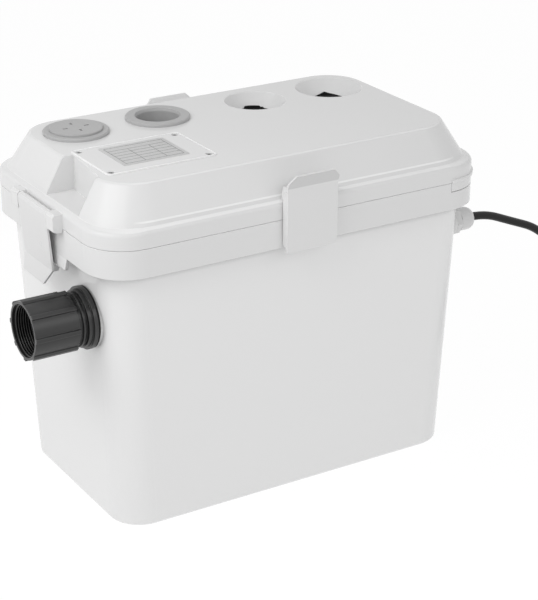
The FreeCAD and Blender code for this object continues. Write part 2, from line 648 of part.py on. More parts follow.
LATCH_PIVOT_Z = "(rim_bottom + latch_pivot_up)"
for side in (-1, 1):
    root = mirrored(side, "rim_width / 2 - skirt_wall / 2")
    tip = mirrored(side, "rim_width / 2 + latch_pivot_out")
    for start in ("lug_inner", "-lug_outer"):
        lug = new_sketch(tank_shell, "YZ_Plane", lift=start)
        draw_tongue(lug, root, tip, LATCH_PIVOT_Z, "latch_lug", "latch_pin + fit_gap", side)
        pad(tank_shell, lug, "lug_outer - lug_inner")

catch = new_sketch(tank_shell, "YZ_Plane", lift="-rim_length / 2")
draw_polygon(
    catch,
    [
        ("-catch_width / 2", "rim_bottom - catch_drop"),
        ("catch_width / 2", "rim_bottom - catch_drop"),
        ("catch_width / 2 + catch_drop / 2", "rim_bottom + skirt_wall"),
        ("-catch_width / 2 - catch_drop / 2", "rim_bottom + skirt_wall"),
    ],
)
pad(tank_shell, catch, "catch_thick")

for seat, thickness, radius, side, height, hole in (
    (f"-{SOCKET_SEAT}", SOCKET_WALL, "flange_radius - pad_less", "-socket_side", "socket_height",
     "adapter_thread + soft_gap"),
    (f"{GLAND_SEAT} - {GLAND_WALL}", GLAND_WALL, "gland_flange + pad_less", "-gland_side", "gland_height",
     "gland_thread + soft_gap"),
):
    boss = draw_circle(new_sketch(tank_shell, "YZ_Plane", lift=seat), radius, side, height)
    pad(tank_shell, boss, thickness)
    opening = draw_circle(new_sketch(tank_shell, "YZ_Plane", lift=seat), hole, side, height)
    pocket(tank_shell, opening, thickness, Reversed=True)

end_recess = new_body("end_recess")
recess = new_sketch(end_recess, lift=f"{SEAM} - end_drop - end_gap")
draw_polygon(
    recess,
    [
        ("rim_length / 2 - end_reach - end_gap", "-rim_width"),
        ("rim_length", "-rim_width"),
        ("rim_length", "rim_width"),
        ("rim_length / 2 - end_reach - end_gap", "rim_width"),
    ],
)
pad(end_recess, recess, "end_drop + 2 * end_gap")
inner_outline = inset_outline(end_recess, f"{SEAM} + 2 * end_gap", "end_wall + end_gap")
pocket(end_recess, inner_outline, "end_drop + 4 * end_gap")
tank = combine("Cut", "tank", tank_shell, end_recess)

lid_gasket = new_body("lid_gasket")
strip = inset_outline(
    lid_gasket,
    f"{SEAM} - gasket_groove",
    "gasket_inset + gasket_slack",
    "gasket_inset + gasket_width - gasket_slack",
)
pad(lid_gasket, strip, "gasket_height")

# Lid: lip, ledge and hood, hollow inside around the pieces that it carries
lid_outside = new_body("lid_outside")
pad(lid_outside, inset_outline(lid_outside, LID_BOTTOM, "0"), "lip_height")


def crease_outline(body, lift, inset, corner):
    sketch = new_sketch(body, lift=lift)
    return draw_rounded(sketch, f"rim_length - 2 * ({inset})", f"rim_width - 2 * ({inset})", corner)


def hood_lofts(body, kind, wall):
    """Ledge, foot and hood above the lip, as solids that a wall thickness shrinks."""
    outlines = [
        crease_outline(body, f"{LIP_TOP} - {wall} / 2", wall, f"rim_corner - {wall}"),
        crease_outline(body, f"{LEDGE_TOP} - {wall} / 2", f"ledge_inset + {wall}", f"ledge_corner - {wall}"),
        crease_outline(body, f"{CREASE} - {wall} / 2", f"band_inset + {wall}", f"crease_corner - {wall}"),
        crease_outline(
            body,
            f"{HOOD_TOP} - {wall}",
            f"band_inset + hood_lean + {wall}",
            f"hood_corner - {wall}",
        ),
    ]
    for first, second in zip(outlines, outlines[1:]):
        feature(body, kind, first, Sections=[second], Ruled=True)


hood_lofts(lid_outside, "AdditiveLoft", "0")
hood_height = size("rim_bottom") + size("rim_height") + size("seam_gap") + size("lip_height")
round_edges(lid_outside, "lip_round", at_height(hood_height))
hood_height = hood_height + size("band_rise") + size("hood_rise")
round_edges(lid_outside, "hood_round", at_height(hood_height))

lid_inside = new_body("lid_inside")
lip_inside = inset_outline(lid_inside, f"{LID_BOTTOM} - lid_wall", "lid_wall")
pad(lid_inside, lip_inside, "lip_height + lid_wall / 2")
hood_lofts(lid_inside, "AdditiveLoft", "lid_wall")


def notch_prism(label, spread, low, high):
    """The notch's plan outline, widened by a wall thickness, between two heights."""
    body = new_body(label)
    sketch = new_sketch(body, lift=low)
    draw_polygon(
        sketch,
        [
            ("-rim_length", f"-notch_front - {spread}"),
            (f"-(rim_length / 2 - notch_deep + notch_less) + {spread}", f"-notch_front - {spread}"),
            (f"-(rim_length / 2 - notch_deep) + {spread}", f"-notch_back + {spread}"),
            ("-rim_length", f"-notch_back + {spread}"),
        ],
    )
    pad(body, sketch, f"{high} - ({low})")
    return body


notch_block = notch_prism("notch_block", "lid_wall", f"{NOTCH_FLOOR} - lid_wall", f"{HOOD_TOP}")
notch_space = notch_prism("notch_space", "0", NOTCH_FLOOR, f"({HOOD_TOP} + lid_wall)")


def hood_box(label, length, width, low, high):
    """A block in the hood, centred on the terminal cover."""
    block = document.addObject("Part::Box", label)
    bind(block, Length=length, Width=width, Height=f"({high}) - ({low})")
    place(block, f"-plate_shift - ({length}) / 2", f"-plate_front - ({width}) / 2", low)
    return block


box_block = hood_box("box_block", "plate_length", "plate_width", f"{HOOD_TOP} - box_depth", HOOD_TOP)
box_space = hood_box(
    "box_space",
    "plate_length - 2 * plate_seat",
    "plate_width - 2 * plate_seat",
    f"{HOOD_TOP} - box_depth + box_wall",
    f"{HOOD_TOP} + lid_wall",
)
plate_space = new_body("plate_space")
plate_sketch = new_sketch(plate_space, x="-plate_shift", y="-plate_front", lift=f"{HOOD_TOP} - {PLATE_SINK}")
draw_rounded(
    plate_sketch, "plate_length + 2 * plate_gap", "plate_width + 2 * plate_gap", "plate_corner + plate_gap"
)
pad(plate_space, plate_sketch, f"{PLATE_SINK} + lid_wall")


def upright_cylinder(label, radius, x, y, low, height):
    cylinder = document.addObject("Part::Cylinder", label)
    bind(cylinder, Radius=radius, Height=height)
    place(cylinder, x, y, low)
    return cylinder


blocks = [notch_block, box_block]
spaces = [notch_space, box_space, plate_space]
for name, x in (("vent", "-port_far"), ("inlet", "-port_near")):
    low = f"{HOOD_TOP} - port_collar"
    collar = upright_cylinder(f"{name}_collar", "port_hole + collar_wall", x, "port_row", low, "port_collar")
    opening = upright_cylinder(f"{name}_hole", "port_hole", x, "port_row", f"{low} - 1", "port_collar + 5")
    blocks.append(collar)
    spaces.append(opening)


def funnel_corners(mouth, wall):
    """Radius and depth under the hood's top of a funnel, or of the wall around it."""
    return [
        ("0", f"-funnel_neck - {wall} / 100"),
        (f"funnel_bore + {wall}", f"-funnel_neck - {wall} / 100"),
        (f"funnel_bore + {wall}", f"-funnel_depth - {wall}"),
        (f"{mouth} + {wall}", f"-{wall} / 2"),
        (f"{mouth} + {wall}", "0"),
        ("0", "0"),
    ]


for name, x, mouth in (("near", "port_near", "funnel_near"), ("far", "port_far", "funnel_far")):
    block = new_body(f"funnel_block_{name}")
    turn_solid(block, funnel_corners(mouth, "lid_wall"))
    place(block, x, "port_row", HOOD_TOP)
    space = new_body(f"funnel_space_{name}")
    turn_solid(
        space,
        [
            ("0", "-funnel_neck - 1"),
            ("funnel_bore", "-funnel_neck - 1"),
            ("funnel_bore", "-funnel_depth"),
            (mouth, "0"),
            (f"{mouth} + 6", "0"),
            (f"{mouth} + 6", "3"),
            ("0", "3"),
        ],
    )
    place(space, x, "port_row", HOOD_TOP)
    blocks.append(block)
    spaces.append(space)

for k, (x_sign, y_sign) in enumerate(((-1, -1), (1, -1), (1, 1), (-1, 1)), 1):
    x = f"-plate_shift + {x_sign} * (plate_length / 2 - screw_inset)"
    y = f"-plate_front + {y_sign} * (plate_width / 2 - screw_inset)"
    depth = "screw_length + plate_thick"
    low = f"{HOOD_TOP} - ({depth})"
    spaces.append(upright_cylinder(f"screw_hole_{k}", "screw_shank + fit_gap", x, y, low, depth))


def join(label, members):
    made = document.addObject("Part::MultiFuse", label)
    made.Label = label
    made.Shapes = members
    made.Refine = True
    return made


lid_void = combine("Cut", "lid_void", lid_inside, join("lid_blocks", blocks))
lid_hollow = combine("Cut", "lid_hollow", lid_outside, lid_void)
lid_open = combine("Cut", "lid_open", lid_hollow, join("lid_spaces", spaces))

seal_shelf = new_body("seal_shelf")
shelf = inset_outline(seal_shelf, f"{LIP_TOP} - 2 * lid_wall", "lid_wall / 2", "shelf_inset")
pad(seal_shelf, shelf, "lid_wall")
rib_low = f"{SEAM} - gasket_groove + gasket_height + gasket_slack"
rib_middle = "gasket_inset + gasket_width / 2"
rib = inset_outline(seal_shelf, rib_low, f"{rib_middle} - rib_thick / 2", f"{rib_middle} + rib_thick / 2")
pad(seal_shelf, rib, f"{LIP_TOP} - 1.5 * lid_wall - ({rib_low})")

end_skirt = new_body("end_skirt")
skirt_ring = inset_outline(end_skirt, f"{LID_BOTTOM} - end_drop", "0", "end_wall")
pad(end_skirt, skirt_ring, "end_drop + lid_wall")
bead_ring = inset_outline(end_skirt, LID_BOTTOM, "-end_bead", "end_wall")
pad(end_skirt, bead_ring, "bead_height")
others = new_sketch(end_skirt, lift=f"{LIP_TOP}")
draw_polygon(
    others,
    [
        ("-rim_length", "-rim_width"),
        ("rim_length / 2 - end_reach", "-rim_width"),
        ("rim_length / 2 - end_reach", "rim_width"),
        ("-rim_length", "rim_width"),
    ],
)
pocket(end_skirt, others, "lip_height + 2 * end_drop")

END_PIVOT_X = "(rim_length / 2 + end_pivot_out)"
END_PIVOT_Z = f"({LID_BOTTOM} + end_pivot_up)"
ears = []
for name, start, pin_end in (
    ("rear", "end_latch_width / 2 + ear_gap", "end_latch_width / 2"),
    ("front", "-end_latch_width / 2 - ear_gap - ear_width", "-end_latch_width / 2 - end_pin_grip"),
):
    ear = new_body(f"ear_{name}")
    sketch = new_sketch(ear, "XZ_Plane", lift=f"-({start}) - ear_width")
    draw_polygon(
        sketch,
        [
            ("-rim_length / 2 + 1", f"{END_PIVOT_Z} + end_barrel"),
            (f"-{END_PIVOT_X} - ear_cut", f"{END_PIVOT_Z} + end_barrel"),
            (f"-{END_PIVOT_X} - end_barrel", f"{END_PIVOT_Z} + ear_cut"),
            (f"-{END_PIVOT_X} - end_barrel", f"{END_PIVOT_Z} - ear_drop + ear_cut"),
            (f"-{END_PIVOT_X}", f"{END_PIVOT_Z} - ear_drop"),
            ("-rim_length / 2 - soft_gap", f"{END_PIVOT_Z} - ear_drop"),
            ("-rim_length / 2 - soft_gap", f"{LID_BOTTOM} + soft_gap"),
            ("-rim_length / 2 + 1", f"{LID_BOTTOM} + soft_gap"),
        ],
    )
    pad(ear, sketch, "ear_width")
    drill = new_sketch(ear, "XZ_Plane", lift=f"-({pin_end})")
    draw_circle(drill, "end_pin + fit_gap", f"-{END_PIVOT_X}", END_PIVOT_Z)
    pocket(ear, drill, "end_pin_grip")
    ears.append(ear)
lid = join("lid", [lid_open, seal_shelf, end_skirt] + ears)

# Latches: two on the tank's rim, one on the lid's ears
RIM_Y = "(rim_width / 2)"
FACE = f"({RIM_Y} + latch_proud)"
INSIDE = f"({RIM_Y} + latch_proud - latch_plate)"
FOLD_Z = f"({SEAM} + latch_top)"
LEDGE = "(ledge_rise / ledge_inset)"
PIVOT_Y = f"({RIM_Y} + latch_pivot_out)"


def side_profile(body, side, corners, half_width, start=None):
    """A shape extruded along the tank, from corners given outwards and upwards."""
    sketch = new_sketch(body, "YZ_Plane", lift=start or f"-({half_width})")
    return draw_polygon(sketch, [(mirrored(side, out), up) for out, up in corners])


def rim_latch(label, side):
    body = new_body(label)
    plate = [
        (f"{FACE} - latch_kink", "rim_bottom - latch_hang"),
        (FACE, "rim_bottom + latch_bend"),
        (FACE, FOLD_Z),
        (f"{FACE} + latch_tab_lean", f"{FOLD_Z} + latch_tab"),
        (f"{INSIDE} + latch_tab_lean", f"{FOLD_Z} + latch_tab + latch_root"),
        (INSIDE, f"{FOLD_Z} + latch_root"),
        (INSIDE, "rim_bottom + latch_bend"),
        (f"{INSIDE} - latch_kink", "rim_bottom - latch_hang"),
    ]
    pad(body, side_profile(body, side, plate, "latch_width / 2"), "latch_width")
    hook = [
        (f"{INSIDE} + latch_root", FOLD_Z),
        (f"{INSIDE} + latch_root", f"{LIP_TOP} + hook_root"),
        (f"{RIM_Y} - hook_start", f"{LIP_TOP} + hook_start * {LEDGE} + hook_gap"),
        (f"{RIM_Y} - hook_reach", f"{LIP_TOP} + hook_reach * {LEDGE} + hook_gap"),
        (f"{RIM_Y} - hook_reach", f"{LIP_TOP} + hook_reach * {LEDGE} + hook_gap + hook_nose"),
        (f"{RIM_Y} - hook_reach + latch_proud / 3", FOLD_Z),
    ]
    hook_half = "latch_width / 2 - latch_plate"
    pad(body, side_profile(body, side, hook, hook_half), f"2 * ({hook_half})")
    cheek = [
        (f"{INSIDE} + latch_root", "rim_bottom + cheek_low"),
        (f"{RIM_Y} + cheek_gap", "rim_bottom + cheek_low + latch_pivot_up"),
        (f"{RIM_Y} + cheek_gap", f"{LIP_TOP} + hook_root"),
        (f"{INSIDE} - latch_plate", f"{FOLD_Z} - latch_pivot_up"),
        (f"{INSIDE} + latch_root", f"{FOLD_Z} - latch_pivot_up"),
    ]
    for start in ("-latch_width / 2", "latch_width / 2 - latch_plate"):
        pad(body, side_profile(body, side, cheek, None, start), "latch_plate")
    web = [
        (PIVOT_Y, f"{LATCH_PIVOT_Z} - latch_pin"),
        (f"{INSIDE} + latch_root", f"{LATCH_PIVOT_Z} - latch_pin"),
        (f"{INSIDE} + latch_root", f"{LATCH_PIVOT_Z} + latch_pin"),
        (PIVOT_Y, f"{LATCH_PIVOT_Z} + latch_pin"),
    ]
    barrel_half = "lug_inner - soft_gap"
    pad(body, side_profile(body, side, web, barrel_half), f"2 * ({barrel_half})")
    barrel = new_sketch(body, "YZ_Plane", lift=f"-({barrel_half})")
    draw_circle(barrel, "latch_barrel", mirrored(side, PIVOT_Y), LATCH_PIVOT_Z)
    pad(body, barrel, f"2 * ({barrel_half})")
    drill = new_sketch(body, "YZ_Plane", lift="-lug_outer")
    draw_circle(drill, "latch_pin + fit_gap", mirrored(side, PIVOT_Y), LATCH_PIVOT_Z)
    pocket(body, drill, "2 * lug_outer", Reversed=True)
    for end in (-1, 1):
        corner = new_sketch(body, "XZ_Plane", lift=mirrored(-side, f"{FACE} - 2 * latch_plate"))
        draw_polygon(
            corner,
            [
                (mirrored(end, "latch_width / 2 - latch_tab_cut"), f"{FOLD_Z} + latch_tab + latch_plate"),
                (mirrored(end, "latch_width / 2 + latch_plate"), f"{FOLD_Z} + latch_tab + latch_plate"),
                (mirrored(end, "latch_width / 2 + latch_plate"), f"{FOLD_Z} + latch_tab - latch_tab_cut"),
            ],
        )
        pocket(body, corner, "2 * latch_proud + latch_tab", Midplane=True)
    pin = document.addObject("Part::Cylinder", f"{label}_pin")
    bind(pin, Radius="latch_pin", Height="2 * (lug_outer + latch_plate)")
    place(pin, "-lug_outer - latch_plate", mirrored(side, PIVOT_Y), LATCH_PIVOT_Z, Vector(0, 1, 0), 90)
    return body, pin


front_latch, front_latch_pin = rim_latch("front_latch", -1)
rear_latch, rear_latch_pin = rim_latch("rear_latch", 1)

left_latch = new_body("left_latch")
END_BEND_Z = f"({END_PIVOT_Z} - end_bend_drop)"
END_INNER_X = f"({END_PIVOT_X} + end_barrel - latch_plate)"
handle = new_sketch(left_latch, "XZ_Plane", lift="-end_latch_width / 2")
draw_polygon(
    handle,
    [
        (f"-{END_PIVOT_X}", f"{END_PIVOT_Z} + end_barrel"),
        (f"-{END_PIVOT_X} - end_barrel * 0.7", f"{END_PIVOT_Z} + end_barrel * 0.7"),
        (f"-{END_PIVOT_X} - end_barrel", END_PIVOT_Z),
        (f"-{END_PIVOT_X}", END_BEND_Z),
        (f"-{END_PIVOT_X} - end_flare", f"{END_BEND_Z} - end_flare_drop"),
        (f"-{END_PIVOT_X} - end_flare + latch_plate", f"{END_BEND_Z} - end_flare_drop"),
        (f"-{END_PIVOT_X} + latch_plate", END_BEND_Z),
        (f"-{END_INNER_X}", f"{END_PIVOT_Z} - end_barrel"),
        (f"-{END_PIVOT_X} + end_barrel * 0.7", f"{END_PIVOT_Z} - end_barrel * 0.7"),
        (f"-{END_PIVOT_X} + end_barrel", END_PIVOT_Z),
        (f"-{END_PIVOT_X} + end_barrel * 0.7", f"{END_PIVOT_Z} + end_barrel * 0.7"),
    ],
)
pad(left_latch, handle, "end_latch_width")
FLARE_END_Z = f"({END_BEND_Z} - end_flare_drop)"
for end in (-1, 1):
    corner = new_sketch(left_latch, "YZ_Plane", lift=f"-{END_PIVOT_X}")
    draw_polygon(
        corner,
        [
            (mirrored(end, "end_latch_width / 2"), END_BEND_Z),
            (mirrored(end, "end_latch_width / 2 - end_flare_cut"), FLARE_END_Z),
            (mirrored(end, "end_latch_width / 2 - end_flare_cut"), f"{FLARE_END_Z} - latch_plate"),
            (mirrored(end, "end_latch_width / 2 + latch_plate"), f"{FLARE_END_Z} - latch_plate"),
            (mirrored(end, "end_latch_width / 2 + latch_plate"), END_BEND_Z),
        ],
    )
    pocket(left_latch, corner, "4 * end_flare", Midplane=True)
CATCH_Z = "(rim_bottom - catch_drop)"
wedge = new_sketch(left_latch, "XZ_Plane", lift="-catch_hook_width / 2")
draw_polygon(
    wedge,
    [
        (f"-{END_PIVOT_X} + 1", f"{CATCH_Z} - hook_gap"),
        ("-rim_length / 2 - soft_gap", f"{CATCH_Z} - hook_gap"),
        ("-rim_length / 2 + catch_bite", f"{CATCH_Z} - hook_gap - catch_bite"),
        ("-rim_length / 2 + catch_bite - 1", f"{CATCH_Z} - catch_wedge"),
        (f"-{END_PIVOT_X} + 1", f"{CATCH_Z} - catch_wedge"),
    ],
)
pad(left_latch, wedge, "catch_hook_width")
end_drill = new_sketch(left_latch, "XZ_Plane", lift="-end_latch_width / 2")
draw_circle(end_drill, "end_pin + fit_gap", f"-{END_PIVOT_X}", END_PIVOT_Z)
pocket(left_latch, end_drill, "end_latch_width", Reversed=True)
left_latch_pin = document.addObject("Part::Cylinder", "left_latch_pin")
bind(left_latch_pin, Radius="end_pin", Height="end_latch_width + 2 * (end_pin_grip - soft_gap)")
place(
    left_latch_pin,
    f"-{END_PIVOT_X}",
    "end_latch_width / 2 + end_pin_grip - soft_gap",
    END_PIVOT_Z,
    Vector(1, 0, 0),
    90,
)

# Grey lip seals, vent cap with its filter, and the slit membranes under the funnels
for label, x in (("vent_seal", "-port_far"), ("inlet_seal", "-port_near")):
    seal = turned(
        label,
        [
            ("pipe_bore", "-seal_depth"),
            ("port_hole - soft_gap", "-seal_depth"),
            ("port_hole - soft_gap", "0"),
            ("seal_flange", "0"),
            ("seal_flange", "seal_proud - 1"),
            ("seal_flange - 1", "seal_proud"),
            ("pipe_bore + seal_lead", "seal_proud"),
            ("pipe_bore", "seal_proud - 2 * seal_lead"),
        ],
    )
    place(seal, x, "port_row", HOOD_TOP)

vent_cap = turned(
    "vent_cap",
    [
        ("0", "0"),
        ("cap_cup - cap_wall", "0"),
        ("cap_cup - cap_wall", "-cap_depth"),
        ("cap_cup", "-cap_depth"),
        ("cap_cup", "0"),
        ("cap_disc", "0"),
        ("cap_disc", "cap_thick - 0.6"),
        ("cap_disc - 0.6", "cap_thick"),
        ("0", "cap_thick"),
    ],
)
slot = new_sketch(vent_cap, lift="cap_thick")
draw_polygon(
    slot,
    [
        ("cap_slot_from", "-cap_slot / 2"),
        ("cap_slot_to", "-cap_slot / 2"),
        ("cap_slot_to", "cap_slot / 2"),
        ("cap_slot_from", "cap_slot / 2"),
    ],
)
repeat(vent_cap, pocket(vent_cap, slot, "2 * cap_thick"), "cap_slots")
place(vent_cap, "-port_far", "port_row", f"{HOOD_TOP} + seal_proud + fit_gap")
carbon_filter = turned(
    "carbon_filter",
    ring_corners("0", "cap_cup - cap_wall - fit_gap", "-cap_depth + cap_wall", "-cap_thick - filter_space"),
)
place(carbon_filter, "-port_far", "port_row", f"{HOOD_TOP} + seal_proud + fit_gap")

for label, x in (("near_membrane", "port_near"), ("far_membrane", "port_far")):
    membrane = turned(
        label,
        [
            ("0", "-membrane_thick"),
            ("funnel_bore - fit_gap - membrane_wall", "-membrane_thick"),
            ("funnel_bore - fit_gap - membrane_wall", "-membrane_deep"),
            ("funnel_bore - fit_gap", "-membrane_deep"),
            ("funnel_bore - fit_gap", "0"),
            ("0", "0"),
        ],
    )
    for long_x, long_y in (("membrane_cut", "membrane_slit / 2"), ("membrane_slit / 2", "membrane_cut")):
        slit = new_sketch(membrane)
        draw_polygon(
            slit,
            [
                (f"-{long_x}", f"-{long_y}"),
                (long_x, f"-{long_y}"),
                (long_x, long_y),
                (f"-{long_x}", long_y),
            ],
        )
        pocket(membrane, slit, "2 * membrane_thick")
    place(membrane, x, "port_row", f"{HOOD_TOP} - funnel_depth - membrane_thick / 4")

# Terminal cover with its screws, and what lies in the box under it
terminal_lid = new_body("terminal_lid")
plate = draw_rounded(new_sketch(terminal_lid), "plate_length", "plate_width", "plate_corner")
pad(terminal_lid, plate, "plate_thick")
SCREW_PLACES = [
    (f"({x} * (plate_length / 2 - screw_inset))", f"({y} * (plate_width / 2 - screw_inset))")
    for x, y in ((-1, -1), (1, -1), (1, 1), (-1, 1))
]
for x, y in SCREW_PLACES:
    pocket(
        terminal_lid,
        draw_circle(new_sketch(terminal_lid, lift="plate_thick"), "screw_head + fit_gap", x, y),
        "plate_thick - screw_web",
    )
    pocket(
        terminal_lid,
        draw_circle(new_sketch(terminal_lid, lift="plate_thick"), "screw_shank + 3 * fit_gap", x, y),
        "2 * plate_thick",
    )
COVER_Z = f"({HOOD_TOP} - {PLATE_SINK})"
place(terminal_lid, "-plate_shift", "-plate_front", COVER_Z)


def screw(label, x, y, seat, shank, length, head, head_height):
    """A screw that stands upright, with its head on a seat."""
    shaft = upright_cylinder(
        f"{label}_shank", shank, x, y, f"({seat}) - ({length})", f"({length}) + ({head_height}) / 2"
    )
    top = upright_cylinder(f"{label}_head", head, x, y, seat, head_height)
    return combine("Fuse", label, shaft, top)


cover_screws = [
    screw(
        f"cover_screw_{k}",
        f"-plate_shift + {x}",
        f"-plate_front + {y}",
        f"{COVER_Z} + screw_web",
        "screw_shank",
        "screw_length",
        "screw_head",
        "screw_cap",
    )
    for k, (x, y) in enumerate(SCREW_PLACES, 1)
]
terminal_screws = group("terminal_screws", cover_screws)

BOX_FLOOR = f"({HOOD_TOP} - box_depth + box_wall)"
circuit_board = new_body("circuit_board")
board = draw_rounded(new_sketch(circuit_board, lift="board_lift"), "board_length", "board_width", "2")
pad(circuit_board, board, "board_thick")
for x in (-1, 1):
    for y in (-1, 1):
        leg = draw_circle(
            new_sketch(circuit_board),
            "board_leg",
            f"{x} * (board_length / 2 - 2 * board_leg)",
            f"{y} * (board_width / 2 - 2 * board_leg)",
        )
        pad(circuit_board, leg, "board_lift + board_thick / 2")
place(circuit_board, "-plate_shift", "-plate_front", BOX_FLOOR)
terminal_block = new_body("terminal_block")
block = draw_rounded(new_sketch(terminal_block), "block_length", "block_width", "1")
pad(terminal_block, block, "block_height")
way = new_sketch(terminal_block, "XZ_Plane", lift="block_width")
draw_circle(way, "block_width / 6", "block_length / 4", "block_height / 3")
draw_circle(way, "block_width / 6", "0", "block_height / 3")
draw_circle(way, "block_width / 6", "-block_length / 4", "block_height / 3")
pocket(terminal_block, way, "2 * block_width")
BOARD_TOP = f"({BOX_FLOOR} + board_lift + board_thick)"
place(terminal_block, "-plate_shift", "-plate_front - board_width / 4", BOARD_TOP)

# Discharge: washer, threaded adapter, ring nut, ribbed union sleeve, check valve and riser.
# These pieces are turned about an upright axis, with heights measured outwards from the wall seat.
OUTWARDS = (Vector(0, 1, 0), -90)


def on_socket(thing):
    place(thing, f"-{SOCKET_SEAT}", "-socket_side", "socket_height", *OUTWARDS)
    return thing


COLLAR_END = "(washer_thick + flange_thick + step_length)"
SPIGOT_END = f"(-{SOCKET_WALL} - adapter_inside)"
NECK_START = "(sleeve_start - soft_gap)"
LIP_START = "(sleeve_start + sleeve_bearing + soft_gap)"
VALVE_START = f"(-{SOCKET_WALL} - nut_thick - 2 * soft_gap)"
VALVE_END = f"({VALVE_START} - valve_length)"
SEAT_END = f"({VALVE_END} + valve_seat_thick)"
adapter_gasket = on_socket(
    turned(
        "adapter_gasket",
        ring_corners("adapter_thread + soft_gap", "flange_radius - pad_less / 2", "0", "washer_thick"),
    )
)
discharge_adapter = on_socket(
    turned(
        "discharge_adapter",
        [
            ("adapter_bore", SPIGOT_END),
            ("adapter_thread", SPIGOT_END),
            ("adapter_thread", "washer_thick"),
            ("flange_radius", "washer_thick"),
            ("flange_radius", "washer_thick + flange_thick"),
            ("step_radius", "washer_thick + flange_thick"),
            ("step_radius", COLLAR_END),
            ("waist_radius", COLLAR_END),
            ("waist_radius", f"{COLLAR_END} + waist_ring_up"),
            ("waist_ring", f"{COLLAR_END} + waist_ring_up"),
            ("waist_ring", f"{COLLAR_END} + waist_ring_up + waist_ring_thick"),
            ("waist_radius", f"{COLLAR_END} + waist_ring_up + waist_ring_thick"),
            ("waist_radius", NECK_START),
            ("neck_radius", NECK_START),
            ("neck_radius", LIP_START),
            ("neck_lip", LIP_START),
            ("neck_lip", f"{LIP_START} + neck_lip_thick"),
            ("adapter_bore", f"{LIP_START} + neck_lip_thick"),
        ],
    )
)
union_sleeve = turned(
    "union_sleeve",
    [
        ("neck_radius + fit_gap", "sleeve_start"),
        ("sleeve_radius", "sleeve_start"),
        ("sleeve_radius", "sleeve_start + sleeve_length"),
        ("sleeve_thread", "sleeve_start + sleeve_length"),
        ("sleeve_thread", "sleeve_start + sleeve_length - thread_length"),
        ("sleeve_thread + thread_relief", "sleeve_start + sleeve_length - thread_length"),
        ("sleeve_thread + thread_relief", "sleeve_start + sleeve_bearing"),
        ("neck_radius + fit_gap", "sleeve_start + sleeve_bearing"),
    ],
)
rib_sketch = new_sketch(union_sleeve, lift="sleeve_start")
draw_polygon(
    rib_sketch,
    [
        ("sleeve_radius - 1", "-sleeve_rib_width / 2"),
        ("sleeve_radius + sleeve_rib", "-sleeve_rib_width / 3"),
        ("sleeve_radius + sleeve_rib", "sleeve_rib_width / 3"),
        ("sleeve_radius - 1", "sleeve_rib_width / 2"),
    ],
)
repeat(union_sleeve, pad(union_sleeve, rib_sketch, "sleeve_length"), "sleeve_ribs")
on_socket(union_sleeve)


def draw_hexagon(sketch, across):
    """A hexagon about the sketch's origin, from its width across flats."""
    corners = [
        (f"({across}) / 2 * {math.cos(turn) / math.cos(math.pi / 6):.6f}",
         f"({across}) / 2 * {math.sin(turn) / math.cos(math.pi / 6):.6f}")
        for turn in (math.radians(60 * k + 30) for k in range(6))
    ]
    return draw_polygon(sketch, corners)


def ring_nut(label, across, bore, low, thickness):
    body = new_body(label)
    outline = draw_hexagon(new_sketch(body, lift=low), across)
    draw_circle(outline, bore)
    pad(body, outline, thickness)
    return body


adapter_nut = on_socket(
    ring_nut(
        "adapter_nut", "nut_across", "adapter_thread + fit_gap", f"-{SOCKET_WALL} - nut_thick", "nut_thick"
    )
)
check_valve_body = turned(
    "check_valve_body",
    [
        ("adapter_thread + fit_gap", VALVE_START),
        ("valve_radius", VALVE_START),
        ("valve_radius", VALVE_END),
        ("pipe_outer + valve_socket_wall", VALVE_END),
        ("pipe_outer + valve_socket_wall", f"{VALVE_END} - pipe_socket"),
        ("pipe_outer + fit_gap", f"{VALVE_END} - pipe_socket"),
        ("pipe_outer + fit_gap", VALVE_END),
        ("valve_seat", VALVE_END),
        ("valve_seat", SEAT_END),
        ("valve_chamber", SEAT_END),
        ("valve_chamber", SPIGOT_END),
        ("adapter_thread + fit_gap", SPIGOT_END),
    ],
)
FLAP_AXIS = f"({SEAT_END} + flap_lug)"
flap_hole = new_sketch(check_valve_body, "XZ_Plane", lift="-valve_radius")
draw_circle(flap_hole, "flap_pin + fit_gap", "flap_pivot", FLAP_AXIS)
pocket(check_valve_body, flap_hole, "2 * valve_radius", Reversed=True)
on_socket(check_valve_body)
FLAP_X = f"(-{SOCKET_SEAT} - {FLAP_AXIS})"
flap_shaft = document.addObject("Part::Cylinder", "flap_pin")
bind(flap_shaft, Radius="flap_pin", Height="2 * flap_pin_half")
place(flap_shaft, FLAP_X, "-socket_side + flap_pin_half", "socket_height + flap_pivot", Vector(1, 0, 0), 90)

valve_flap = new_body("valve_flap")
FLAP_LOW = f"(valve_flap_gap - flap_lug)"
disc = new_sketch(valve_flap, "YZ_Plane", lift=f"-({FLAP_LOW}) - flap_thick")
draw_circle(disc, "flap_radius", "0", "-flap_pivot")
pad(valve_flap, disc, "flap_thick")
arm = new_sketch(valve_flap, "YZ_Plane", lift=f"-({FLAP_LOW}) - flap_thick")
draw_polygon(
    arm,
    [
        ("-flap_arm", "-flap_pivot"),
        ("flap_arm", "-flap_pivot"),
        ("flap_arm", "-flap_pin"),
        ("-flap_arm", "-flap_pin"),
    ],
)
pad(valve_flap, arm, "flap_thick")
lug = draw_circle(new_sketch(valve_flap, "XZ_Plane", lift="-flap_arm"), "flap_lug - fit_gap")
pad(valve_flap, lug, "2 * flap_arm")
lug_hole = draw_circle(new_sketch(valve_flap, "XZ_Plane", lift="-flap_arm"), "flap_pin + fit_gap")
pocket(valve_flap, lug_hole, "2 * flap_arm", Reversed=True)
place(valve_flap, FLAP_X, "-socket_side", "socket_height + flap_pivot")

PIPE_START = f"(-{SOCKET_SEAT} - {VALVE_END})"
BEND_X = "(-riser_shift - pipe_bend)"
discharge_elbow = new_body("discharge_elbow")


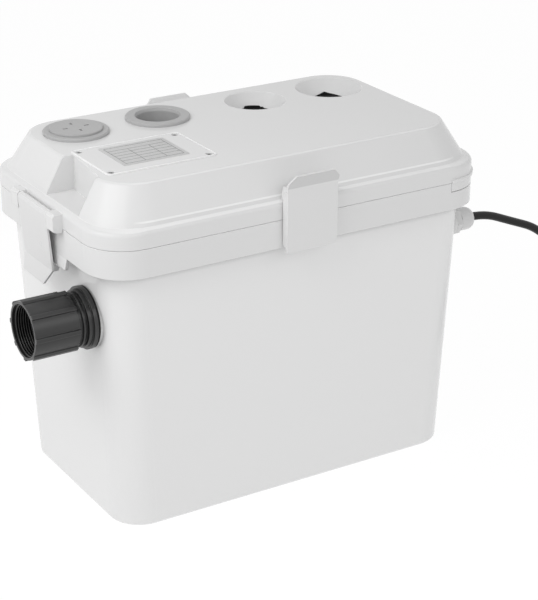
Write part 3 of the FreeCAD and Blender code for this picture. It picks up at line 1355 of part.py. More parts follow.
def pipe_ring(role, x, y, lift, centre_x="0", centre_y="0"):
    sketch = new_sketch(discharge_elbow, role, x=x, y=y, lift=lift)
    for radius in ("pipe_outer", "pipe_inner"):
        draw_circle(sketch, radius, centre_x, centre_y)
    return sketch


level_pipe = pipe_ring("YZ_Plane", "-socket_side", "socket_height", PIPE_START)
pad(discharge_elbow, level_pipe, f"{BEND_X} - {PIPE_START}")
bend = pipe_ring("YZ_Plane", "-socket_side", "socket_height - pipe_bend", BEND_X, "0", "pipe_bend")
feature(discharge_elbow, "Revolution", bend, ReferenceAxis=(bend, ["H_Axis"]), Angle=90)
upright_pipe = pipe_ring("XY_Plane", "-riser_shift", "-socket_side", "riser_foot")
pad(discharge_elbow, upright_pipe, "socket_height - pipe_bend - riser_foot")
OUTLET_TOP = "(riser_foot - joint_gap)"
riser_coupling = turned(
    "riser_coupling",
    ring_corners(
        "pipe_outer + fit_gap",
        "pipe_outer + fit_gap + coupling_wall",
        f"{OUTLET_TOP} - coupling_grip",
        "riser_foot + coupling_grip",
    ),
)
place(riser_coupling, "-riser_shift", "-socket_side")
clamps = []
for name, middle in (
    ("lower", f"{OUTLET_TOP} - coupling_grip / 2"),
    ("upper", "riser_foot + coupling_grip / 2"),
):
    inner = "pipe_outer + 2 * fit_gap + coupling_wall"
    clamp = turned(
        f"clamp_{name}",
        ring_corners(
            inner, f"{inner} + clamp_thick", f"{middle} - clamp_width / 2", f"{middle} + clamp_width / 2"
        ),
    )
    box = draw_polygon(
        new_sketch(clamp, lift=f"{middle} - clamp_width / 2"),
        [
            (f"{inner} + clamp_thick / 2", "-clamp_width / 2"),
            (f"{inner} + clamp_width", "-clamp_width / 2"),
            (f"{inner} + clamp_width", "clamp_width / 2"),
            (f"{inner} + clamp_thick / 2", "clamp_width / 2"),
        ],
    )
    pad(clamp, box, "clamp_width")
    place(clamp, "-riser_shift", "-socket_side")
    clamps.append(clamp)
coupling_clamps = group("coupling_clamps", clamps)

# Pump: feet, strainer, casing with its outlet, impeller and shaft, motor


def at_pump(thing, height="0"):
    place(thing, "-pump_shift", "-pump_front", height)
    return thing


STRAINER_FOOT = "(tank_floor + foot_height)"
feet = []
for k in range(3):
    turn = math.radians(120 * k + 90)
    feet.append(
        upright_cylinder(
            f"foot_{k + 1}",
            "foot_radius",
            f"-pump_shift + foot_circle * {math.cos(turn):.6f}",
            f"-pump_front + foot_circle * {math.sin(turn):.6f}",
            "tank_floor",
            "foot_height",
        )
    )
pump_feet = group("pump_feet", feet)
suction_strainer = turned(
    "suction_strainer",
    [
        ("0", "0"),
        ("strainer_radius", "0"),
        ("strainer_radius", "strainer_height"),
        ("strainer_radius - strainer_wall", "strainer_height"),
        ("strainer_radius - strainer_wall", "strainer_wall"),
        ("0", "strainer_wall"),
    ],
)
window = new_sketch(suction_strainer, lift="strainer_height")
draw_polygon(
    window,
    [
        ("strainer_radius - 2 * strainer_wall", "-strainer_slot / 2"),
        ("strainer_radius + strainer_wall", "-strainer_slot / 2"),
        ("strainer_radius + strainer_wall", "strainer_slot / 2"),
        ("strainer_radius - 2 * strainer_wall", "strainer_slot / 2"),
    ],
)
slot = pocket(suction_strainer, window, "strainer_height - strainer_wall")
repeat(suction_strainer, slot, "strainer_slots")
at_pump(suction_strainer, STRAINER_FOOT)

OUTLET_X = "(pump_shift - riser_shift)"
OUTLET_Y = "(pump_front - socket_side)"
CHAMBER_TOP = "(casing_floor + chamber_height)"
pump_casing = new_body("pump_casing")
pad(pump_casing, draw_circle(new_sketch(pump_casing), "casing_radius"), "casing_height")
lobe = draw_circle(new_sketch(pump_casing), "pipe_outer + casing_floor", OUTLET_X, OUTLET_Y)
pad(pump_casing, lobe, "casing_height")
spigot = draw_circle(new_sketch(pump_casing, lift="casing_height / 2"), "pipe_outer", OUTLET_X, OUTLET_Y)
pad(pump_casing, spigot, f"{OUTLET_TOP} - {CASING_FOOT} - casing_height / 2")


def draw_duct(lift, half):
    """The way from the pump's axis to its outlet, at a half width along each axis."""
    return draw_polygon(
        new_sketch(pump_casing, lift=lift),
        [
            (f"{OUTLET_X} + {half}", f"{OUTLET_Y} - {half}"),
            (half, f"-{half}"),
            (f"-{half}", half),
            (f"{OUTLET_X} - {half}", f"{OUTLET_Y} + {half}"),
        ],
    )


pad(pump_casing, draw_duct("0", "duct_half + casing_floor"), "casing_height")
chamber = draw_circle(new_sketch(pump_casing, lift=CHAMBER_TOP), "casing_chamber")
pocket(pump_casing, chamber, "chamber_height")
pocket(pump_casing, draw_duct(CHAMBER_TOP, "duct_half"), "chamber_height")
outlet = draw_circle(
    new_sketch(pump_casing, lift=f"{OUTLET_TOP} - {CASING_FOOT}"), "pipe_inner", OUTLET_X, OUTLET_Y
)
pocket(pump_casing, outlet, f"{OUTLET_TOP} - {CASING_FOOT} - casing_floor")
eye = draw_circle(new_sketch(pump_casing, lift="casing_floor"), "suction_eye")
pocket(pump_casing, eye, "2 * casing_floor")
pocket(
    pump_casing,
    draw_circle(new_sketch(pump_casing, lift="casing_height"), "shaft_radius + soft_gap"),
    "casing_height - casing_floor",
)
pocket(
    pump_casing,
    draw_circle(new_sketch(pump_casing, lift="casing_height"), "seal_outer + fit_gap"),
    "seal_height",
)
BOLT_PLACES = [
    (f"(bolt_circle * {math.cos(turn):.6f})", f"(bolt_circle * {math.sin(turn):.6f})")
    for turn in (math.radians(90 * k) for k in range(4))
]
for x, y in BOLT_PLACES:
    pocket(
        pump_casing,
        draw_circle(new_sketch(pump_casing, lift="casing_height"), "bolt_radius + fit_gap", x, y),
        "bolt_length",
    )
at_pump(pump_casing, CASING_FOOT)
shaft_seal = turned(
    "shaft_seal",
    ring_corners("shaft_radius + fit_gap", "seal_outer", "casing_height - seal_height", "casing_height"),
)
at_pump(shaft_seal, CASING_FOOT)

VANE_FOOT = "(casing_floor + impeller_gap)"
DISC_FOOT = f"({VANE_FOOT} + vane_height)"
impeller = turned(
    "impeller",
    [
        ("shaft_radius + fit_gap", VANE_FOOT),
        ("hub_radius", VANE_FOOT),
        ("hub_radius", DISC_FOOT),
        ("impeller_radius", DISC_FOOT),
        ("impeller_radius", f"{DISC_FOOT} + impeller_disc"),
        ("shaft_radius + fit_gap", f"{DISC_FOOT} + impeller_disc"),
    ],
)
vane = draw_polygon(
    new_sketch(impeller, lift=VANE_FOOT),
    [
        ("hub_radius - 1", "0"),
        ("impeller_radius * 0.6", "vane_sweep / 2"),
        ("impeller_radius * 0.92", "vane_sweep"),
        ("impeller_radius * 0.92 - vane_thick", "vane_sweep + vane_thick / 2"),
        ("impeller_radius * 0.6 - vane_thick / 2", "vane_sweep / 2 + vane_thick"),
        ("hub_radius - 1", "vane_thick"),
    ],
)
repeat(impeller, pad(impeller, vane, "vane_height + impeller_disc / 2"), "vane_count")
at_pump(impeller, CASING_FOOT)
impeller_nut = ring_nut("impeller_nut", "3 * shaft_radius", "shaft_thread + fit_gap", "0", "nut_height")
SHAFT_FOOT = f"({CASING_FOOT} + {VANE_FOOT} - nut_height)"
at_pump(impeller_nut, SHAFT_FOOT)

motor_housing = turned(
    "motor_housing",
    [
        ("shaft_radius + soft_gap", "0"),
        ("motor_flange", "0"),
        ("motor_flange", "motor_flange_thick"),
        ("motor_radius", "motor_flange_thick"),
        ("motor_radius", "motor_height"),
        ("motor_radius - motor_wall", "motor_height"),
        ("motor_radius - motor_wall", "motor_flange_thick"),
        ("bearing_outer + motor_wall", "motor_flange_thick"),
        ("bearing_outer + motor_wall", "motor_flange_thick + bearing_height"),
        ("bearing_outer + fit_gap", "motor_flange_thick + bearing_height"),
        ("bearing_outer + fit_gap", "motor_flange_thick - 1"),
        ("shaft_radius + soft_gap", "motor_flange_thick - 1"),
    ],
)
for x, y in BOLT_PLACES:
    pocket(
        motor_housing,
        draw_circle(new_sketch(motor_housing, lift="motor_flange_thick"), "bolt_radius + fit_gap", x, y),
        "2 * motor_flange_thick",
    )
at_pump(motor_housing, MOTOR_FOOT)
casing_bolts = [
    screw(
        f"casing_bolt_{k}",
        f"-pump_shift + {x}",
        f"-pump_front + {y}",
        f"{MOTOR_FOOT} + motor_flange_thick",
        "bolt_radius",
        "bolt_length",
        "bolt_head",
        "bolt_head_height",
    )
    for k, (x, y) in enumerate(BOLT_PLACES, 1)
]
casing_screws = group("casing_screws", casing_bolts)
lower_bearing = turned(
    "lower_bearing", ring_corners("shaft_radius + fit_gap", "bearing_outer", "0", "bearing_height")
)
at_pump(lower_bearing, f"{MOTOR_FOOT} + motor_flange_thick - 1")
motor_cap = turned(
    "motor_cap",
    [
        ("bearing_outer + fit_gap", "-bearing_height"),
        ("bearing_outer + motor_wall", "-bearing_height"),
        ("bearing_outer + motor_wall", "-2"),
        ("motor_radius - motor_wall - fit_gap", "-2"),
        ("motor_radius - motor_wall - fit_gap", "0"),
        ("motor_radius", "0"),
        ("motor_radius - 2", "cap_height - 5"),
        ("motor_radius - 10", "cap_height"),
        ("0", "cap_height"),
        ("0", "cap_height - 4"),
        ("bearing_outer + fit_gap", "cap_height - 4"),
    ],
)
at_pump(motor_cap, MOTOR_TOP)
upper_bearing = turned(
    "upper_bearing", ring_corners("shaft_radius + fit_gap", "bearing_outer", "-bearing_height", "0")
)
at_pump(upper_bearing, MOTOR_TOP)
ROTOR_FOOT = f"({MOTOR_FOOT} + motor_height / 2 - rotor_height / 2 - {SHAFT_FOOT})"
rotor_shaft = turned(
    "rotor_shaft",
    [
        ("0", "0"),
        ("shaft_thread", "0"),
        ("shaft_thread", "nut_height"),
        ("shaft_radius", "nut_height"),
        ("shaft_radius", ROTOR_FOOT),
        ("rotor_radius", ROTOR_FOOT),
        ("rotor_radius", f"{ROTOR_FOOT} + rotor_height"),
        ("shaft_radius", f"{ROTOR_FOOT} + rotor_height"),
        ("shaft_radius", f"{MOTOR_TOP} - {SHAFT_FOOT}"),
        ("0", f"{MOTOR_TOP} - {SHAFT_FOOT}"),
    ],
)
at_pump(rotor_shaft, SHAFT_FOOT)
stator = turned(
    "stator",
    ring_corners(
        "rotor_radius + air_gap",
        "motor_radius - motor_wall - fit_gap",
        "-stator_height / 2",
        "stator_height / 2",
    ),
)
at_pump(stator, f"{MOTOR_FOOT} + motor_height / 2")

# Float switch on the motor
float_bracket = new_body("float_bracket")
FLOAT_Y = "-pump_front"
back = new_sketch(float_bracket, "YZ_Plane", lift="motor_radius + fit_gap - pump_shift")
draw_polygon(
    back,
    [
        (f"{FLOAT_Y} - bracket_half", "float_pivot_up - bracket_half"),
        (f"{FLOAT_Y} + bracket_half", "float_pivot_up - bracket_half"),
        (f"{FLOAT_Y} + bracket_half", "float_pivot_up + bracket_half"),
        (f"{FLOAT_Y} - bracket_half", "float_pivot_up + bracket_half"),
    ],
)
pad(float_bracket, back, "bracket_thick")
for start in ("float_arm_half + soft_gap", "-float_arm_half - soft_gap - bracket_thick"):
    cheek = new_sketch(float_bracket, "XZ_Plane", lift=f"pump_front - ({start}) - bracket_thick")
    draw_tongue(
        cheek,
        "motor_radius + fit_gap - pump_shift",
        FLOAT_X,
        "float_pivot_up",
        "2.5 * float_pin",
        "float_pin + fit_gap",
        1,
    )
    pad(float_bracket, cheek, "bracket_thick")
float_axle = document.addObject("Part::Cylinder", "float_pin")
bind(float_axle, Radius="float_pin", Height="2 * (float_arm_half + soft_gap + 2 * bracket_thick)")
place(
    float_axle,
    FLOAT_X,
    f"{FLOAT_Y} + float_arm_half + soft_gap + 2 * bracket_thick",
    "float_pivot_up",
    Vector(1, 0, 0),
    90,
)
float_arm = new_body("float_arm")
rod = new_sketch(float_arm, "XZ_Plane", lift="-float_arm_half")
draw_tongue(rod, "float_arm", "0", "0", "2 * float_pin", "float_pin + fit_gap", -1)
pad(float_arm, rod, "2 * float_arm_half")
place(float_arm, FLOAT_X, FLOAT_Y, "float_pivot_up", Vector(0, 1, 0), 60)
float_ball = new_body("float_ball")
drum = new_sketch(float_ball, "XZ_Plane", lift="-float_length / 2")
draw_circle(drum, "float_radius", "float_arm + float_radius / 2", "0")
pad(float_ball, drum, "float_length")
seat_cut = new_sketch(float_ball, "XZ_Plane", lift="-float_arm_half - fit_gap")
draw_polygon(
    seat_cut,
    [
        ("-float_radius", "-2 * float_pin - fit_gap"),
        ("float_arm + fit_gap", "-2 * float_pin - fit_gap"),
        ("float_arm + fit_gap", "2 * float_pin + fit_gap"),
        ("-float_radius", "2 * float_pin + fit_gap"),
    ],
)
pocket(float_ball, seat_cut, "2 * float_arm_half + 2 * fit_gap", Reversed=True)
place(float_ball, FLOAT_X, FLOAT_Y, "float_pivot_up", Vector(0, 1, 0), 60)

# Cable gland: body, lock nut, cap nut and rubber insert, turned about the lead
GLAND_IN = f"(-{GLAND_WALL} - gland_inside)"
HEX_END = "(gland_flange_thick + gland_hex)"
THREAD_END = f"({HEX_END} + gland_slit + gland_nut_length - gland_crown)"
CAP_END = f"({HEX_END} + gland_slit + gland_nut_length)"
LEAD_HOLE = "(cable_radius + cable_gap)"


def on_gland(thing):
    place(thing, GLAND_SEAT, "-gland_side", "gland_height", Vector(0, 1, 0), 90)
    return thing


gland_body = turned(
    "gland_body",
    [
        (LEAD_HOLE, GLAND_IN),
        ("gland_thread", GLAND_IN),
        ("gland_thread", "0"),
        ("gland_flange", "0"),
        ("gland_flange", "gland_flange_thick"),
        ("gland_thread", "gland_flange_thick"),
        ("gland_thread", THREAD_END),
        ("seal_insert + fit_gap", THREAD_END),
        ("seal_insert + fit_gap", "gland_flange_thick"),
        (LEAD_HOLE, "gland_flange_thick"),
    ],
)
hexagon = draw_hexagon(new_sketch(gland_body, lift="gland_flange_thick"), "gland_across")
draw_circle(hexagon, "gland_thread - 0.5")
pad(gland_body, hexagon, "gland_hex")
on_gland(gland_body)
gland_locknut = on_gland(
    ring_nut(
        "gland_locknut", "gland_across", "gland_thread + fit_gap", f"-{GLAND_WALL} - gland_hex", "gland_hex"
    )
)
gland_seal = on_gland(
    turned(
        "gland_seal", ring_corners("cable_radius + fit_gap", "seal_insert", "gland_flange_thick", THREAD_END)
    )
)
gland_nut = on_gland(
    turned(
        "gland_nut",
        [
            ("gland_thread + fit_gap", f"{HEX_END} + gland_slit"),
            ("gland_nut", f"{HEX_END} + gland_slit"),
            ("gland_nut", f"{CAP_END} - gland_crown - 1"),
            ("gland_nut - 1.2", f"{CAP_END} - gland_crown / 2"),
            ("gland_nut - 3.2", CAP_END),
            (LEAD_HOLE, CAP_END),
            (LEAD_HOLE, f"{THREAD_END} + gland_slit"),
            ("gland_thread + fit_gap", f"{THREAD_END} + gland_slit"),
        ],
    )
)

# Mains lead: a tube along a route of straight runs and tangent arcs, then a tied coil and the plug
LEAD_START = (
    size("rim_length") / 2 - size("rim_out_end") - size("wall_draft") + size("gland_boss")
    + size("gland_height") * size("wall_draft") / size("rim_bottom")
)
NUT_FACE = (
    LEAD_START + size("gland_flange_thick") + size("gland_hex") + size("gland_slit") + size("gland_nut_length")
)
COIL_EDGE = size("coil_middle") + size("cable_radius")
COIL_TOP = size("coil_lift") + 3 * size("cable_radius")
LEAD_IN = size("coil_x") - size("coil_stub")
LEAD_Y = -size("coil_y") + COIL_EDGE
LEAD_OUT_Y = -size("gland_side")
CORD_ROUTE = [
    (NUT_FACE, LEAD_OUT_Y, size("gland_height")),
    (NUT_FACE + 18, LEAD_OUT_Y, size("gland_height")),
    (NUT_FACE + 50, LEAD_OUT_Y, size("gland_height") - 13.5),
    (NUT_FACE + 86, LEAD_OUT_Y - 1, size("gland_height") - 28),
    (NUT_FACE + 111, LEAD_OUT_Y - 2, size("gland_height") - 56),
    (NUT_FACE + 118, LEAD_Y + 1, 126),
    (NUT_FACE + 119, LEAD_Y, 93),
    (NUT_FACE + 122, LEAD_Y, 64),
    (NUT_FACE + 133, LEAD_Y, 40),
    (NUT_FACE + 150, LEAD_Y, COIL_TOP + 9),
    (LEAD_IN - 22, LEAD_Y, COIL_TOP),
    (LEAD_IN, LEAD_Y, COIL_TOP),
]
CORD_BEND = 0.45


def route_pieces(points):
    """Straight runs and tangent arcs along a route, and the arcs' radii."""
    corners = []
    for before, corner, after in zip(points, points[1:], points[2:]):
        inward, outward = corner - before, after - corner
        half_turn = inward.getAngle(outward) / 2
        reach = CORD_BEND * min(inward.Length, outward.Length)
        inward.normalize()
        outward.normalize()
        toward_centre = outward - inward
        toward_centre.normalize()
        radius = reach / math.tan(half_turn)
        middle = corner + toward_centre * (radius / math.cos(half_turn) - radius)
        corners.append((corner - inward * reach, middle, corner + outward * reach, radius))
    edges = []
    position = points[0]
    for start, middle, end, radius in corners:
        edges.append(Part.makeLine(position, start))
        edges.append(Part.Arc(start, middle, end).toShape())
        position = end
    edges.append(Part.makeLine(position, points[-1]))
    return edges, [radius for start, middle, end, radius in corners]


def cable(label, points):
    """A round cable swept along a route."""
    points = [Vector(*point) for point in points]
    edges, radii = route_pieces(points)
    wire = Part.Wire(edges)
    disc = Part.Wire(Part.makeCircle(size("cable_radius"), points[0], points[1] - points[0]))
    swept = wire.makePipeShell([disc], True, False)
    expected = math.pi * size("cable_radius") ** 2 * wire.Length
    print(f"{label}: {wire.Length:.0f} mm long, tightest bend {min(radii):.0f} mm,",
          f"volume {swept.Volume / expected:.4f} of section by length")
    return direct(label, swept)


power_cord = cable("power_cord", CORD_ROUTE)
INNER_START = (NUT_FACE, -size("gland_side"), size("gland_height"))
GLAND_TAIL = LEAD_START - size("motor_tail")
CAP_TOP = (
    size("tank_floor") + size("foot_height") + size("strainer_height") + size("casing_height")
    + size("motor_height") + size("cap_height")
)
CAP_X = size("motor_lead") - size("pump_shift")
MOTOR_ROUTE = [
    INNER_START,
    (GLAND_TAIL, -size("gland_side"), size("gland_height")),
    (CAP_X + 90, -size("pump_front") - 52, size("gland_height") + 9),
    (CAP_X + 54, -size("pump_front") - 32, size("gland_height") + 22),
    (CAP_X + 21, -size("pump_front") - 12, size("gland_height") + 21),
    (CAP_X, -size("pump_front"), size("gland_height") - 3),
    (CAP_X, -size("pump_front"), CAP_TOP),
]
motor_cable = cable("motor_cable", MOTOR_ROUTE)

COIL_Z = "(coil_lift + cable_radius)"
turns = []
for layer in (0, 1):
    for inner in (0, 1):
        turn = document.addObject("Part::Torus", f"turn_{layer}_{inner}")
        bind(
            turn,
            Radius1=f"coil_middle + cable_radius - {inner} * 2 * cable_radius",
            Radius2="cable_radius + turn_press",
        )
        place(turn, "coil_x", "-coil_y", f"{COIL_Z} + {layer} * 2 * cable_radius")
        turns.append(turn)
lead_stub = document.addObject("Part::Cylinder", "lead_stub")
bind(lead_stub, Radius="cable_radius", Height="coil_stub")
place(
    lead_stub,
    "coil_x - coil_stub",
    "-coil_y + coil_middle + cable_radius",
    f"{COIL_Z} + 2 * cable_radius",
    Vector(0, 1, 0),
    90,
)
TILT = -90 + size("plug_tilt_degrees")
plug_stub = document.addObject("Part::Cylinder", "plug_stub")
bind(plug_stub, Radius="cable_radius", Height="plug_lead")
place(plug_stub, "coil_x", "-coil_y - coil_middle - cable_radius", COIL_Z, Vector(0, 1, 0), TILT)
cord_coil = join("cord_coil", turns + [lead_stub, plug_stub])

coil_tie = new_body("coil_tie")
for grow in ("tie_slack + tie_thick", "tie_slack"):
    cut = new_sketch(coil_tie, "XZ_Plane", x="coil_middle", y=f"{COIL_Z} + cable_radius", lift="-tie_width / 2")
    band = draw_rounded(
        cut,
        f"4 * cable_radius + 2 * ({grow})",
        f"4 * cable_radius + 2 * ({grow})",
        f"cable_radius + {grow}",
    )
    if grow == "tie_slack":
        pocket(coil_tie, band, "tie_width", Reversed=True)
    else:
        pad(coil_tie, band, "tie_width")
place(coil_tie, "coil_x", "-coil_y")


def on_plug(thing):
    place(thing, "coil_x", "-coil_y - coil_middle - cable_radius", COIL_Z, Vector(0, 1, 0), TILT)
    return thing


PLUG_FACE = "(plug_lead + plug_length)"
plug_body = turned(
    "plug_body",
    [
        ("0", "plug_lead"),
        ("cable_radius + 2", "plug_lead"),
        ("cable_radius + 3.5", "plug_lead + plug_length * 0.33"),
        ("plug_radius * 0.62", "plug_lead + plug_length * 0.4"),
        ("plug_radius * 0.72", "plug_lead + plug_length * 0.72"),
        ("plug_radius", "plug_lead + plug_length * 0.78"),
        ("plug_radius", PLUG_FACE),
        ("0", PLUG_FACE),
    ],
)
for side in (-1, 1):
    contact = new_sketch(plug_body, lift=PLUG_FACE)
    draw_polygon(
        contact,
        [
            ("-plug_radius / 5", mirrored(side, "plug_radius - plug_clip")),
            ("plug_radius / 5", mirrored(side, "plug_radius - plug_clip")),
            ("plug_radius / 5", mirrored(side, "plug_radius + plug_clip")),
            ("-plug_radius / 5", mirrored(side, "plug_radius + plug_clip")),
        ],
    )
    pocket(plug_body, contact, "plug_length * 0.22 + 1")
for side in (-1, 1):
    socket = draw_circle(
        new_sketch(plug_body, lift=PLUG_FACE), "pin_radius + fit_gap", "0", mirrored(side, "pin_spread")
    )
    pocket(plug_body, socket, "pin_root")
on_plug(plug_body)
blades = []
for name, side in (("left", -1), ("right", 1)):
    blade = new_body(f"pin_{name}")
    sketch = draw_circle(
        new_sketch(blade, lift=f"{PLUG_FACE} - pin_root"), "pin_radius", "0", mirrored(side, "pin_spread")
    )
    pad(blade, sketch, "pin_root + pin_length")
    blades.append(on_plug(blade))
plug_pins = group("plug_pins", blades)

# Export: one STEP file for each piece
PIECES = """
    tank lid_gasket front_latch_pin rear_latch_pin adapter_gasket discharge_adapter adapter_nut
    check_valve_body flap_pin discharge_elbow riser_coupling coupling_clamps pump_feet suction_strainer
    pump_casing shaft_seal casing_screws motor_housing lower_bearing upper_bearing motor_cap stator
    float_bracket float_pin gland_body gland_locknut gland_seal gland_nut
    motor_cable power_cord cord_coil coil_tie plug_body plug_pins
    rotor_shaft impeller impeller_nut float_arm float_ball valve_flap lid terminal_lid terminal_screws
    circuit_board terminal_block inlet_seal vent_seal near_membrane far_membrane left_latch_pin vent_cap
    carbon_filter front_latch rear_latch left_latch union_sleeve
""".split()

document.recompute()
faults = [thing.Label for thing in document.Objects if {"Invalid", "Error"} & set(thing.State)]
if faults:
    raise RuntimeError(f"not built: {faults}")
os.makedirs("parts", exist_ok=True)
for label in PIECES:
    piece = document.getObjectsByLabel(label)[0]
    if piece.Shape.isNull() or not piece.Shape.isValid():
        raise RuntimeError(f"no valid solid: {label}")
    piece.Shape.exportStep(f"parts/{label}.step")
    box = piece.Shape.BoundBox
    print(
        f"{label}: {len(piece.Shape.Solids)} solid, {piece.Shape.Volume / 1000:.1f} cm3,",
        f"x {box.XMin:.1f} to {box.XMax:.1f}, y {box.YMin:.1f} to {box.YMax:.1f},",
        f"z {box.ZMin:.1f} to {box.ZMax:.1f}",
    )
print(len(PIECES), "pieces")
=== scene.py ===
import json
import math

import bmesh
import bpy
from mathutils import Matrix, Vector


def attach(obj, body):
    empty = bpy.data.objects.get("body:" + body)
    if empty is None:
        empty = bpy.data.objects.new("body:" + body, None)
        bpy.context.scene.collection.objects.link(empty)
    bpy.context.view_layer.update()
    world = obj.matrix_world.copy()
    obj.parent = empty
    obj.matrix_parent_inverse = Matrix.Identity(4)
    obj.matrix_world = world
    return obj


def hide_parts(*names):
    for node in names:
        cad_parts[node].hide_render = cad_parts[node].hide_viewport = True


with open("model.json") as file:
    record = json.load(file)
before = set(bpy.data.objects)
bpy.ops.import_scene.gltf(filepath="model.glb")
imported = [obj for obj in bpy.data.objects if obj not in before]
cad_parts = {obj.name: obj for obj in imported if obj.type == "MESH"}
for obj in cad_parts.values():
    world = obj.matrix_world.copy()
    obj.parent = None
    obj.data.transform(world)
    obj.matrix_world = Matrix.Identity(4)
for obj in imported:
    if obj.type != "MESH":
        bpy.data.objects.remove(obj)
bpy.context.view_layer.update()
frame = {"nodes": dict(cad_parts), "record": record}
nodes = frame["nodes"]
slot_of = {row["node"]: row["material_slot"] for row in frame["record"]["subparts"]}
MM = 0.001
scene = bpy.context.scene
scene.view_settings.view_transform = "Standard"


def metres(*millimetres):
    return Vector(millimetres) * MM


# Camera: the photograph's viewing angle and distance, found from the straight edges of
# rim, lid and base
AZIMUTH = math.radians(-31.3)
ELEVATION = math.radians(23.21)
BACK = Vector((
    math.sin(AZIMUTH) * math.cos(ELEVATION),
    -math.cos(AZIMUTH) * math.cos(ELEVATION),
    math.sin(ELEVATION),
))
AIM = metres(25.24, -15.35, 150.59)
DISTANCE = 1.74903
LENS = 109.2

camera_data = bpy.data.cameras.new("camera")
camera_data.lens = LENS
camera_data.sensor_width = 36
camera = bpy.data.objects.new("camera", camera_data)
camera.location = AIM + BACK * DISTANCE
camera.rotation_mode = "QUATERNION"
camera.rotation_quaternion = (-BACK).to_track_quat("-Z", "Y")
scene.collection.objects.link(camera)
scene.camera = camera


# Building blocks
def solid(name, parts, body, smooth_below=35):
    """A piece of a body, made of (vertices, faces) parts in metres.

    It is shaded smooth where its faces meet at less than smooth_below degrees.
    """
    mesh = bpy.data.meshes.new(name)
    vertices = []
    faces = []
    for part_vertices, part_faces in parts:
        start = len(vertices)
        vertices += part_vertices
        faces += [[start + corner for corner in face] for face in part_faces]
    mesh.from_pydata(vertices, [], faces)
    work = bmesh.new()
    work.from_mesh(mesh)
    bmesh.ops.recalc_face_normals(work, faces=work.faces)
    for edge in work.edges:
        sharp = len(edge.link_faces) != 2 or edge.calc_face_angle(0) > math.radians(smooth_below)
        edge.smooth = not sharp
    for face in work.faces:
        face.smooth = True
    work.to_mesh(mesh)
    work.free()
    piece = bpy.data.objects.new(name, mesh)
    scene.collection.objects.link(piece)
    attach(piece, body)
    return piece


def lofted(rings, closed=False):
    """Vertices and faces of a skin over rings of points. Open ends get a flat face."""
    count = len(rings[0])
    vertices = [point for ring in rings for point in ring]
    faces = []
    for row in range(len(rings) if closed else len(rings) - 1):
        first = row * count
        second = (row + 1) % len(rings) * count
        for column in range(count):
            following = (column + 1) % count
            faces.append([first + column, first + following, second + following, second + column])
    if not closed:
        faces.append(list(range(count))[::-1])
        faces.append(list(range(len(vertices) - count, len(vertices))))
    return vertices, faces


def rounded_outline(centre_x, centre_y, length, width, corner, height, steps=8):
    """A rounded rectangle's points at one height, in metres from sizes in millimetres."""
    points = []
    for quarter, (side_x, side_y) in enumerate(((1, 1), (-1, 1), (-1, -1), (1, -1))):
        middle_x = centre_x + side_x * (length / 2 - corner)
        middle_y = centre_y + side_y * (width / 2 - corner)
        for step in range(steps + 1):
            angle = math.radians(90 * (quarter + step / steps))
            points.append(metres(
                middle_x + corner * math.cos(angle),
                middle_y + corner * math.sin(angle),
                height,
            ))
    return points


def values_at(profile, place):
    """The values at a place on a profile, a list of (place, value, value and so on)."""
    for (start, *values), (end, *following) in zip(profile, profile[1:]):
        if place <= end:
            share = (place - start) / (end - start)
            return [value + (other - value) * share for value, other in zip(values, following)]


# Materials
GRAIN_SCALE = 2600.0  # fine grain of moulded plastic: features per metre
GRAIN_DEPTH = 0.00003
GLOSS_SCALE = 25.0  # slow change of its gloss over a face
GLOSS_CHANGE = 0.012
WIDE = (0.15, 0.85)  # noise values that are taken as the two ends of a faint change
MASK_BLUR = 0.0003  # metres over which a mask's edge fades
EDGE_TURN = (0.955, 0.995)  # cosine between rounded and true direction: full painted edge highlight, none
SHOULDER_SLOPE = (0.74, 0.82, 0.955, 0.985)  # Z of a shoulder's direction for its painted highlight: from, full, full, to
CREASE_SLOPE = (0.2, 0.3)  # Z of a sloping face's direction: no painted crease highlight, full
LONG_SIDE_TURN = (0.01, 0.12)  # square of the direction's X: on a long side, turned to an end
OPEN_SHARE = (0.5, 0.98)  # share of open surroundings, for the painted shade: in a gap, in the open
TAB_OUTER_SIDE = (0.08, 0.09)  # Y of direction times Y of place, on the outer face of a latch, where its tab is painted darker as shade
